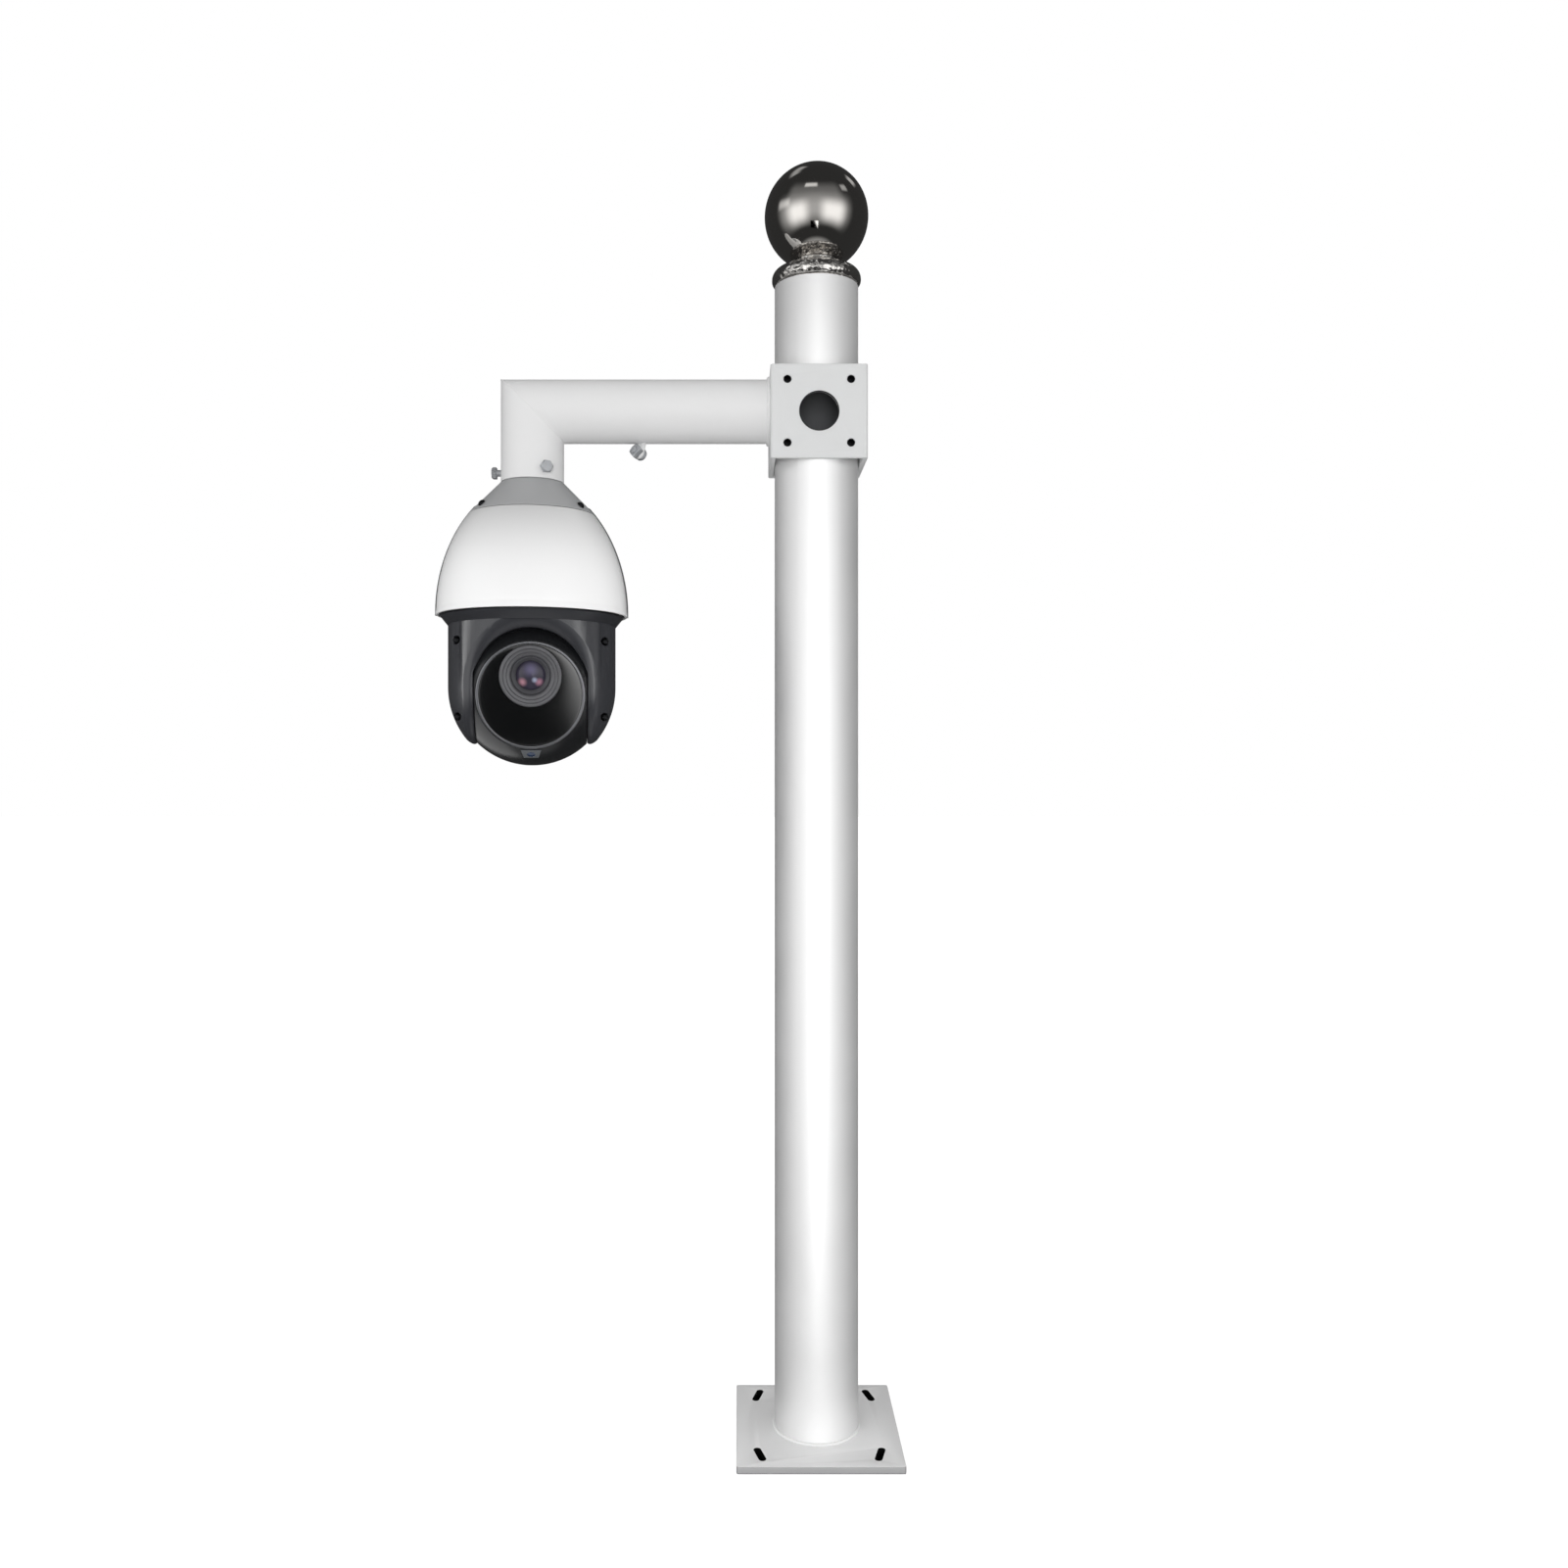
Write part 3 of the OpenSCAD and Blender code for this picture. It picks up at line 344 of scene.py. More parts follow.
# Front lens: its dark colour paints the shaded bore behind the glass, and a painted sheen and painted glints of lamps
# in magenta and blue stand for the anti-reflection coat.
COATED_GLASS = Finish("multicoated_optical_glass", "#3a3942", 0.05, specular=0.3, tint="#433e4c", patch=9.0,
                      swing=0.01, glint="#5a5674", painted_glints=(
                          PaintedGlint((0.0, 5.0), 9.0, "#686380"), PaintedGlint((-7.6, -6.4), 5.5, "#c493a0"),
                          PaintedGlint((7.4, -6.2), 5.0, "#c08ea2"), PaintedGlint((3.2, -4.0), 3.6, "#c3cbe6"),
                      ))
# Light sensor bezel and its tinted lens.
SENSOR_BEZEL = Finish("moulded_asa_grey", "#6e7175", 0.4, tint="#66696d", reliefs=(Relief(Pattern.SPARK, 0.8, 0.008),))
SENSOR_LENS = Finish("blue_filter_glass", "#16294a", 0.08, specular=0.8, coat=1.0, tint="#1b3a63", patch=4.0)
# EPDM gasket: dull black with a dusty bloom.
RUBBER = Finish("epdm_rubber", "#1a1a1b", 0.75, specular=0.25, tint="#222223", patch=12.0,
                reliefs=(Relief(Pattern.SPARK, 1.2, 0.03),))
# Inner parts: acetal bushes, circuit laminate, wound copper, painted housings.
ACETAL = Finish("acetal_natural", "#e4dfd2", 0.45, tint="#dcd6c6", reliefs=(Relief(Pattern.PEEL, 2.0, 0.01),))
LAMINATE = Finish("fr4_laminate_green", "#1f5a35", 0.35, tint="#174a2a", patch=8.0, coat=0.4,
                  reliefs=(Relief(Pattern.SCALE, 1.2, 0.01),))
COPPER = Finish("enamelled_copper_wire", "#a5622f", 0.3, metallic=1.0, tint="#8c4f24", patch=4.0,
                reliefs=(Relief(Pattern.RINGS, 0.8, 0.05),))
LAMP_RESIN = Finish("clear_epoxy_lamp", "#c9ccd2", 0.1, specular=0.6, coat=1.0, tint="#b8bcc4", patch=3.0)


# Mesh tools


def rounded(profile: Profile, radius: float, steps: int = 3, closed: bool = True) -> list[Point2]:
    """Rounds the corners of a flat outline.

    Args:
        profile: the corners, in millimetres.
        radius: the most that a corner is cut back along its sides.
        steps: the number of edges in each rounded corner.
        closed: whether the last corner joins the first.

    Returns:
        The corners of the rounded outline.
    """
    made: list[Point2] = []
    count = len(profile)
    for i, corner in enumerate(profile):
        if not closed and i in (0, count - 1):
            made.append(tuple(corner))
            continue
        before, here, after = (Vector(profile[(i + k) % count]) for k in (-1, 0, 1))
        into, out = before - here, after - here
        if into.angle(out, math.pi) > math.radians(172):
            made.append(tuple(here))
            continue
        back = min(radius, into.length * 0.45, out.length * 0.45)
        a, b = here + into.normalized() * back, here + out.normalized() * back
        for k in range(steps + 1):
            u = k / steps
            made.append(tuple((1 - u) ** 2 * a + 2 * u * (1 - u) * here + u * u * b))
    return made


def mesh_of(bm: bmesh.types.BMesh, name: str, sharp: float = 32.0) -> bpy.types.Mesh:
    """Turns a bmesh in millimetres into a smooth shaded mesh in metres.

    Args:
        bm: the shape; it is freed.
        name: the mesh's name.
        sharp: the angle in degrees from which an edge stays sharp.

    Returns:
        The mesh.
    """
    bmesh.ops.remove_doubles(bm, verts=bm.verts, dist=1e-4)
    bmesh.ops.recalc_face_normals(bm, faces=bm.faces)
    bmesh.ops.transform(bm, matrix=Matrix.Scale(MM, 4), verts=bm.verts)
    mesh = bpy.data.meshes.new(name)
    bm.to_mesh(mesh)
    bm.free()
    mesh.shade_smooth()
    mesh.set_sharp_from_angle(angle=math.radians(sharp))
    return mesh


def lathe(profile: Profile, place: Matrix | None = None, steps: int = 160, closed: bool = True) -> bmesh.types.BMesh:
    """Turns an outline round the Z axis.

    Args:
        profile: corners as radius and height, in millimetres; corners on the axis make poles.
        place: where the turned shape goes, or None to leave it on the Z axis.
        steps: the number of segments round the axis.
        closed: whether the last corner joins the first.

    Returns:
        The turned shape.
    """
    bm = bmesh.new()
    rings = []
    for r, z in profile:
        if r < 1e-6:
            rings.append([bm.verts.new((0, 0, z))] * steps)
        else:
            rings.append([bm.verts.new((r * math.cos(a), r * math.sin(a), z))
                          for a in (2 * math.pi * k / steps for k in range(steps))])
    pairs = list(zip(rings, rings[1:] + rings[:1])) if closed else list(zip(rings, rings[1:]))
    for low, high in pairs:
        for k in range(steps):
            corners = dict.fromkeys((low[k], low[(k + 1) % steps], high[(k + 1) % steps], high[k]))
            if len(corners) > 2:
                bm.faces.new(tuple(corners))
    if place:
        bmesh.ops.transform(bm, matrix=place, verts=bm.verts)
    return bm


def prism(outline: Profile, thickness: float, place: Matrix) -> bmesh.types.BMesh:
    """Makes a flat outline thick on both sides of its plane.

    Args:
        outline: corners in the local X and Z plane, in millimetres.
        thickness: across the plane.
        place: where the prism goes.

    Returns:
        The prism.
    """
    bm = bmesh.new()
    sides = [[bm.verts.new((x, y, z)) for x, z in outline] for y in (-thickness / 2, thickness / 2)]
    for side in sides:
        bm.faces.new(side)
    count = len(outline)
    for k in range(count):
        j = (k + 1) % count
        bm.faces.new((sides[0][k], sides[0][j], sides[1][j], sides[1][k]))
    bmesh.ops.transform(bm, matrix=place, verts=bm.verts)
    return bm


def joined(parts: Iterable[bmesh.types.BMesh]) -> bmesh.types.BMesh:
    """Puts several shapes into one.

    Args:
        parts: the shapes; they are freed.

    Returns:
        The one shape.
    """
    whole = bmesh.new()
    for part in parts:
        step = bpy.data.meshes.new("step")
        part.to_mesh(step)
        part.free()
        whole.from_mesh(step)
        bpy.data.meshes.remove(step)
    return whole


def loft(rings: Sequence[Sequence[Vector]], closed: bool = True) -> bmesh.types.BMesh:
    """Joins rings of equal length into a skin.

    Args:
        rings: closed rings of points, in millimetres.
        closed: whether the last ring joins the first.

    Returns:
        The skin.
    """
    bm = bmesh.new()
    rows = [[bm.verts.new(p) for p in ring] for ring in rings]
    pairs = list(zip(rows, rows[1:] + rows[:1])) if closed else list(zip(rows, rows[1:]))
    for low, high in pairs:
        for k in range(len(low)):
            j = (k + 1) % len(low)
            bm.faces.new((low[k], low[j], high[j], high[k]))
    return bm


def at(x: float = 0.0, y: float = 0.0, z: float = 0.0) -> Matrix:
    """Gives the move to a place, in millimetres."""
    return Matrix.Translation((x, y, z))


def turned(degrees: float, axis: str) -> Matrix:
    """Gives a turn about one of the axes, in degrees."""
    return Matrix.Rotation(math.radians(degrees), 4, axis)


def camera_frame() -> Matrix:
    """Gives the frame of the camera, whose front looks along its own -Y."""
    return at(CAMERA_X) @ turned(CAMERA_TURN, "Z")


def ball_frame() -> Matrix:
    """Gives the frame of the tilting ball at rest, whose window looks along its own -Y."""
    return camera_frame() @ at(z=TILT_Z) @ Matrix.Rotation(REST_TILT, 4, "X")


def facing_front(rise: float = 0.0) -> Matrix:
    """Gives the ball's frame with Z turned to the way the window looks, raised by some millimetres."""
    return ball_frame() @ at(z=rise) @ turned(90, "X")


# Objects


def baked(obj: bpy.types.Object, name: str) -> bpy.types.Mesh:
    """Turns an object with its modifiers into a plain mesh, and removes the object.

    Args:
        obj: the object.
        name: the mesh's name.

    Returns:
        The plain mesh.
    """
    bpy.context.view_layer.update()
    ready = obj.evaluated_get(bpy.context.evaluated_depsgraph_get())
    mesh = bpy.data.meshes.new_from_object(ready)
    mesh.name = name
    bpy.data.objects.remove(obj)
    return mesh


def new_object(name: str, mesh: bpy.types.Mesh) -> bpy.types.Object:
    """Links a mesh into the scene at the origin."""
    obj = bpy.data.objects.new(name, mesh)
    bpy.context.scene.collection.objects.link(obj)
    return obj


def bevelled(mesh: bpy.types.Mesh, width: float, steps: int = 2, angle: float = 35.0) -> bpy.types.Mesh:
    """Rounds the sharp edges of a mesh.

    Args:
        mesh: the mesh, in metres.
        width: the width of the rounding, in millimetres.
        steps: its number of segments.
        angle: the angle in degrees from which an edge is rounded.

    Returns:
        The rounded mesh.
    """
    obj = new_object("rounding", mesh)
    edge = obj.modifiers.new("rounding", "BEVEL")
    edge.width = width * MM
    edge.segments = steps
    edge.limit_method = "ANGLE"
    edge.angle_limit = math.radians(angle)
    edge.use_clamp_overlap = False
    made = baked(obj, mesh.name)
    made.shade_smooth()
    made.set_sharp_from_angle(angle=math.radians(50))
    return made


def cut(mesh: bpy.types.Mesh, tools: Iterable[bmesh.types.BMesh]) -> bpy.types.Mesh:
    """Takes shapes out of a mesh.

    Args:
        mesh: the mesh, in metres.
        tools: the shapes to take out, in millimetres.

    Returns:
        The cut mesh.
    """
    obj = new_object("cutting", mesh)
    cutter = new_object("cutter", mesh_of(joined(tools), "cutter"))
    step = obj.modifiers.new("cut", "BOOLEAN")
    step.operation = "DIFFERENCE"
    step.solver = "EXACT"
    step.object = cutter
    made = baked(obj, mesh.name)
    bpy.data.objects.remove(cutter)
    made.set_sharp_from_angle(angle=math.radians(32))
    return made


def refined(node: str, width: float, angle: float = 35.0) -> bpy.types.Mesh:
    """Copies a CAD node's mesh, merges its loose triangles and rounds its edges.

    Args:
        node: the CAD node.
        width: the width of the rounding in millimetres, or 0 for none.
        angle: the angle in degrees from which an edge is rounded.

    Returns:
        The finer mesh.
    """
    bm = bmesh.new()
    bm.from_mesh(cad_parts[node].data)
    bmesh.ops.remove_doubles(bm, verts=bm.verts, dist=2e-6)
    bmesh.ops.dissolve_limit(bm, angle_limit=math.radians(0.4), verts=bm.verts, edges=bm.edges,
                             delimit={"NORMAL"})
    mesh = bpy.data.meshes.new(node + "_fine")
    bm.to_mesh(mesh)
    bm.free()
    mesh.materials.clear()
    mesh.shade_smooth()
    mesh.set_sharp_from_angle(angle=math.radians(32))
    return bevelled(mesh, width, angle=angle) if width else mesh


@dataclass(frozen=True)
class Piece:
    """A finished piece: its name, finish, body, material slot and the CAD nodes that it stands for."""

    name: str
    finish: Finish
    slot: str
    body: str = "root"
    nodes: tuple[str, ...] = ()

    def place(self, mesh: bpy.types.Mesh) -> bpy.types.Object:
        """Dresses a mesh and lets it ride on its body.

        Args:
            mesh: the finished mesh, in metres.

        Returns:
            The piece's object.
        """
        mesh.name = self.name
        if not mesh.materials:
            mesh.materials.append(self.finish.material())
        obj = new_object(self.name, mesh)
        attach(obj, self.body)
        if self.nodes:
            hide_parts(*self.nodes)
        LOG.info("%s: %d faces in %s, rides on %s", self.name, len(mesh.polygons), self.finish.name, self.body)
        return obj


# Geometry Nodes


@dataclass
class Grower:
    """A Geometry Nodes tree with named inputs, and the piece that it grows."""

    name: str
    inputs: dict[str, tuple[str, float | int]]
    build: Callable[[bpy.types.NodeTree, bpy.types.Node], bpy.types.NodeSocket]

    def tree(self) -> bpy.types.NodeTree:
        """Builds the tree once: the inputs, the given nodes, then Realize Instances and Set Material.

        Returns:
            The node tree.
        """
        known = bpy.data.node_groups.get(self.name)
        if known:
            return known
        tree = bpy.data.node_groups.new(self.name, "GeometryNodeTree")
        tree.interface.new_socket("Geometry", in_out="OUTPUT", socket_type="NodeSocketGeometry")
        tree.interface.new_socket("Geometry", in_out="INPUT", socket_type="NodeSocketGeometry")
        for label, (kind, value) in self.inputs.items():
            socket = tree.interface.new_socket(label, in_out="INPUT", socket_type=kind)
            socket.default_value = value
        tree.interface.new_socket("Material", in_out="INPUT", socket_type="NodeSocketMaterial")
        source = add(tree, "NodeGroupInput")
        grown = self.build(tree, source)
        real = add(tree, "GeometryNodeRealizeInstances", {"Geometry": grown})
        dressed = add(tree, "GeometryNodeSetMaterial", {"Geometry": real.outputs[0],
                                                        "Material": source.outputs["Material"]})
        add(tree, "NodeGroupOutput", {"Geometry": dressed.outputs[0]})
        return tree

    def grow(self, seed: bpy.types.Mesh, finish: Finish, **sizes: float | int) -> bpy.types.Mesh:
        """Runs the tree on a seed mesh.

        Args:
            seed: the path or the points that the tree works on.
            finish: the material it sets.
            sizes: values of the named inputs, with underscores for spaces.

        Returns:
            The grown plain mesh.
        """
        obj = new_object(self.name + "_seed", seed)
        step = obj.modifiers.new(self.name, "NODES")
        step.node_group = self.tree()
        sockets = {s.name: s.identifier for s in step.node_group.interface.items_tree if s.in_out == "INPUT"}
        step[sockets["Material"]] = finish.material()
        for label, value in sizes.items():
            step[sockets[label.replace("_", " ").capitalize()]] = value
        mesh = baked(obj, self.name)
        mesh.shade_smooth()
        mesh.set_sharp_from_angle(angle=math.radians(40))
        return mesh


def math_node(tree: bpy.types.NodeTree, operation: str, a: object, b: object = 0.0) -> bpy.types.NodeSocket:
    """Adds one calculation to a geometry tree and gives its result."""
    return add(tree, "ShaderNodeMath", {0: a, 1: b}, operation=operation).outputs[0]


def build_bead(tree: bpy.types.NodeTree, source: bpy.types.Node) -> bpy.types.NodeSocket:
    """Sweeps a rippled weld bead along a closed path.

    Args:
        tree: the geometry tree.
        source: its group input, with Leg, Ripple and Depth in metres.

    Returns:
        The socket with the bead.
    """
    path = add(tree, "GeometryNodeMeshToCurve", {"Mesh": source.outputs["Geometry"]})
    fine = add(tree, "GeometryNodeResampleCurve", {
        "Curve": path.outputs["Curve"],
        "Length": math_node(tree, "DIVIDE", source.outputs["Ripple"], 6.0),
    }, mode="LENGTH")
    along = add(tree, "GeometryNodeSplineParameter").outputs["Length"]
    phase = math_node(tree, "MULTIPLY", math_node(tree, "DIVIDE", along, source.outputs["Ripple"]), math.pi)
    wave = math_node(tree, "ABSOLUTE", math_node(tree, "SINE", phase))
    size = math_node(tree, "ADD", source.outputs["Leg"], math_node(tree, "MULTIPLY", wave, source.outputs["Depth"]))
    swept = add(tree, "GeometryNodeSetCurveRadius", {"Curve": fine.outputs["Curve"], "Radius": size})
    section = add(tree, "GeometryNodeCurvePrimitiveCircle", {"Resolution": 14, "Radius": 1.0})
    bead = add(tree, "GeometryNodeCurveToMesh", {
        "Curve": swept.outputs["Curve"],
        "Profile Curve": section.outputs["Curve"],
        "Scale": size,
    })
    return bead.outputs["Mesh"]


BEAD = Grower("weld_bead", {
    "Leg": ("NodeSocketFloat", 0.002),
    "Ripple": ("NodeSocketFloat", 0.003),
    "Depth": ("NodeSocketFloat", 0.0003),
}, build_bead)


def stood_on_points(tree: bpy.types.NodeTree, source: bpy.types.Node,
                    shape: bpy.types.NodeSocket) -> bpy.types.NodeSocket:
    """Stands one copy of a shape on each point of the seed, along the point's axis.

    Args:
        tree: the geometry tree.
        source: its group input.
        shape: the shape, which points along Z.

    Returns:
        The socket with the copies.
    """
    axis = add(tree, "GeometryNodeInputNamedAttribute", {"Name": "axis"}, data_type="FLOAT_VECTOR")
    side = add(tree, "GeometryNodeInputNamedAttribute", {"Name": "turn"}, data_type="FLOAT")
    lean = add(tree, "FunctionNodeAlignRotationToVector", {"Vector": axis.outputs[0]}, axis="Z")
    spin = add(tree, "FunctionNodeAxisAngleToRotation", {"Axis": (0, 0, 1), "Angle": side.outputs[0]})
    both = add(tree, "FunctionNodeRotateRotation", {"Rotation": lean.outputs[0], "Rotate By": spin.outputs[0]},
               rotation_space="LOCAL")
    copies = add(tree, "GeometryNodeInstanceOnPoints", {
        "Points": source.outputs["Geometry"],
        "Instance": shape,
        "Rotation": both.outputs[0],
    })
    return copies.outputs["Instances"]


def cylinder_at(tree: bpy.types.NodeTree, sides: int, radius: object, height: object,
                middle: object) -> bpy.types.NodeSocket:
    """Adds a cylinder on the Z axis whose middle is at some height, and gives its mesh."""
    body = add(tree, "GeometryNodeMeshCylinder", {"Vertices": sides, "Radius": radius, "Depth": height})
    lift = add(tree, "ShaderNodeCombineXYZ", {"Z": middle})
    return add(tree, "GeometryNodeTransform", {"Geometry": body.outputs["Mesh"],
                                               "Translation": lift.outputs[0]}).outputs[0]


def boolean(tree: bpy.types.NodeTree, operation: str, first: bpy.types.NodeSocket,
            others: Sequence[bpy.types.NodeSocket]) -> bpy.types.NodeSocket:
    """Adds a mesh boolean of one mesh with others, and gives its mesh."""
    node = add(tree, "GeometryNodeMeshBoolean", operation=operation, solver="EXACT")
    if operation == "DIFFERENCE":
        tree.links.new(first, node.inputs["Mesh 1"])
    else:
        tree.links.new(first, node.inputs["Mesh 2"])
    for other in others:
        tree.links.new(other, node.inputs["Mesh 2"])
    return node.outputs["Mesh"]


def build_hex_screws(tree: bpy.types.NodeTree, source: bpy.types.Node) -> bpy.types.NodeSocket:
    """Makes a hexagon head screw with a chamfered head on each point.

    Args:
        tree: the geometry tree.
        source: its group input, with Across, Head, Shank and Reach in metres.

    Returns:
        The socket with the screws.
    """
    across, head = source.outputs["Across"], source.outputs["Head"]
    half = math_node(tree, "DIVIDE", head, 2.0)
    corner = math_node(tree, "DIVIDE", across, math.sqrt(3))
    block = cylinder_at(tree, 6, corner, head, half)
    cone = add(tree, "GeometryNodeMeshCone", {
        "Vertices": 48,
        "Side Segments": 1,
        "Radius Top": math_node(tree, "MULTIPLY", across, 0.46),
        "Radius Bottom": math_node(tree, "MULTIPLY", across, 0.9),
        "Depth": math_node(tree, "MULTIPLY", head, 1.2),
    })
    low = add(tree, "ShaderNodeCombineXYZ", {"Z": math_node(tree, "MULTIPLY", head, -0.2)})
    cap = add(tree, "GeometryNodeTransform", {"Geometry": cone.outputs["Mesh"], "Translation": low.outputs[0]})
    shaped = boolean(tree, "INTERSECT", block, [cap.outputs[0]])
    shank = cylinder_at(tree, 24, source.outputs["Shank"], source.outputs["Reach"],
                        math_node(tree, "DIVIDE", source.outputs["Reach"], -2.0))
    whole = add(tree, "GeometryNodeJoinGeometry")
    tree.links.new(shaped, whole.inputs[0])
    tree.links.new(shank, whole.inputs[0])
    return stood_on_points(tree, source, whole.outputs[0])


HEX_SCREWS = Grower("hex_screws", {
    "Across": ("NodeSocketFloat", 0.01),
    "Head": ("NodeSocketFloat", 0.004),
    "Shank": ("NodeSocketFloat", 0.003),
    "Reach": ("NodeSocketFloat", 0.006),
}, build_hex_screws)


def build_cross_screws(tree: bpy.types.NodeTree, source: bpy.types.Node) -> bpy.types.NodeSocket:
    """Makes a pan head screw with a cross recess on each point.

    Args:
        tree: the geometry tree.
        source: its group input, with Radius and Head in metres.

    Returns:
        The socket with the screws.
    """
    radius, head = source.outputs["Radius"], source.outputs["Head"]
    ball = add(tree, "GeometryNodeMeshUVSphere", {"Segments": 32, "Rings": 16, "Radius": 1.0})
    size = add(tree, "ShaderNodeCombineXYZ", {"X": radius, "Y": radius, "Z": head})
    dome = add(tree, "GeometryNodeTransform", {"Geometry": ball.outputs["Mesh"], "Scale": size.outputs[0]})
    half = cylinder_at(tree, 32, math_node(tree, "MULTIPLY", radius, 2.0), head, math_node(tree, "DIVIDE", head, 2.0))
    pan = boolean(tree, "INTERSECT", dome.outputs[0], [half])
    slots = []
    for long, short in (("X", "Y"), ("Y", "X")):
        box = add(tree, "ShaderNodeCombineXYZ", {
            long: math_node(tree, "MULTIPLY", radius, 1.0),
            short: math_node(tree, "MULTIPLY", radius, 0.26),
            "Z": head,
        })
        bar = add(tree, "GeometryNodeMeshCube", {"Size": box.outputs[0]})
        lift = add(tree, "ShaderNodeCombineXYZ", {"Z": head})
        slots.append(add(tree, "GeometryNodeTransform", {"Geometry": bar.outputs["Mesh"],
                                                         "Translation": lift.outputs[0]}).outputs[0])
    return stood_on_points(tree, source, boolean(tree, "DIFFERENCE", pan, slots))


CROSS_SCREWS = Grower("cross_screws", {
    "Radius": ("NodeSocketFloat", 0.0035),
    "Head": ("NodeSocketFloat", 0.0024),
}, build_cross_screws)


def build_shield(tree: bpy.types.NodeTree, source: bpy.types.Node) -> bpy.types.NodeSocket:
    """Bends a grid into half of the sun shield and gives it its wall.

    The radius follows one rule over the height: it is full at the bulge and closes towards the top, and the lowest
    band stands out by the lip.

    Args:
        tree: the geometry tree.
        source: its group input: Radius, Rise, Fullness, Low, Bulge, High, Lip, Wall and Gap.

    Returns:
        The socket with the half shield.
    """
    grid = add(tree, "GeometryNodeMeshGrid", {
        "Size X": 1.0, "Size Y": 1.0, "Vertices X": 121, "Vertices Y": 61,
    })
    place = add(tree, "GeometryNodeInputPosition")
    parts = add(tree, "ShaderNodeSeparateXYZ", {0: place.outputs[0]})
    u = math_node(tree, "ADD", parts.outputs["X"], 0.5)
    v = math_node(tree, "ADD", parts.outputs["Y"], 0.5)
    span = math_node(tree, "SUBTRACT", source.outputs["High"], source.outputs["Low"])
    z = math_node(tree, "ADD", source.outputs["Low"], math_node(tree, "MULTIPLY", v, span))
    above = math_node(tree, "MAXIMUM", math_node(tree, "SUBTRACT", z, source.outputs["Bulge"]), 0.0)
    share = math_node(tree, "POWER", math_node(tree, "DIVIDE", above, source.outputs["Rise"]),
                      source.outputs["Fullness"])
    rule = math_node(tree, "MULTIPLY", source.outputs["Radius"],
                     math_node(tree, "SQRT", math_node(tree, "SUBTRACT", 1.0, share)))
    bead = add(tree, "ShaderNodeMapRange", {
        "Value": z,
        "From Min": math_node(tree, "SUBTRACT", source.outputs["Bulge"], 0.0012),
        "From Max": source.outputs["Bulge"],
        "To Min": source.outputs["Lip"],
        "To Max": 0.0,
    }, interpolation_type="SMOOTHSTEP")
    r = math_node(tree, "ADD", rule, bead.outputs["Result"])
    edge = math_node(tree, "ARCSINE", math_node(tree, "DIVIDE", source.outputs["Gap"], r))
    sweep = math_node(tree, "SUBTRACT", math.pi, math_node(tree, "MULTIPLY", edge, 2.0))
    angle = math_node(tree, "ADD", edge, math_node(tree, "MULTIPLY", u, sweep))
    x = math_node(tree, "MULTIPLY", r, math_node(tree, "COSINE", angle))
    y = math_node(tree, "MULTIPLY", r, math_node(tree, "SINE", angle))
    spot = add(tree, "ShaderNodeCombineXYZ", {"X": x, "Y": y, "Z": z})
    skin = add(tree, "GeometryNodeSetPosition", {"Geometry": grid.outputs["Mesh"], "Position": spot.outputs[0]})
    inward = add(tree, "GeometryNodeFlipFaces", {"Mesh": skin.outputs[0]})
    wall = add(tree, "GeometryNodeExtrudeMesh", {
        "Mesh": skin.outputs[0], "Offset Scale": source.outputs["Wall"], "Individual": False,
    }, mode="FACES")
    whole = add(tree, "GeometryNodeJoinGeometry")
    tree.links.new(wall.outputs["Mesh"], whole.inputs[0])
    tree.links.new(inward.outputs[0], whole.inputs[0])
    return add(tree, "GeometryNodeMergeByDistance", {"Geometry": whole.outputs[0], "Distance": 1e-6}).outputs[0]


SHIELD = Grower("sun_shield_half", {
    "Radius": ("NodeSocketFloat", 0.0856),
    "Rise": ("NodeSocketFloat", 0.12),
    "Fullness": ("NodeSocketFloat", 1.9),
    "Low": ("NodeSocketFloat", 0.742),
    "Bulge": ("NodeSocketFloat", 0.746),
    "High": ("NodeSocketFloat", 0.8417),
    "Lip": ("NodeSocketFloat", 0.0005),
    "Wall": ("NodeSocketFloat", -0.0025),
    "Gap": ("NodeSocketFloat", 0.00165),
}, build_shield)


def closed_path(name: str, points: Sequence[Vector]) -> bpy.types.Mesh:
    """Makes a closed path of edges for a weld bead.

    Args:
        name: the mesh's name.
        points: the path, in millimetres.

    Returns:
        A mesh of edges, in metres.
    """
    mesh = bpy.data.meshes.new(name)
    count = len(points)
    mesh.from_pydata([p * MM for p in points], [(k, (k + 1) % count) for k in range(count)], [])
    return mesh


def ring_path(radius: float, place: Matrix, steps: int = 96) -> list[Vector]:
    """Gives the points of a circle round the local Z axis, in millimetres."""
    return [place @ Vector((radius * math.cos(a), radius * math.sin(a), 0))
            for a in (2 * math.pi * k / steps for k in range(steps))]


def seats(name: str, places: Sequence[tuple[Vector, Vector, float]]) -> bpy.types.Mesh:
    """Makes the points on which screws stand.

    Args:
        name: the mesh's name.
        places: for each screw its seat in millimetres, its axis and its turn in radians.

    Returns:
        A mesh of points with the attributes axis and turn.
    """
    mesh = bpy.data.meshes.new(name)
    mesh.from_pydata([p * MM for p, _, _ in places], [], [])
    mesh.attributes.new("axis", "FLOAT_VECTOR", "POINT")
    mesh.attributes.new("turn", "FLOAT", "POINT")
    mesh.attributes["axis"].data.foreach_set("vector", [v for _, way, _ in places for v in way])
    mesh.attributes["turn"].data.foreach_set("value", [angle for _, _, angle in places])
    return mesh


# Sub-assemblies


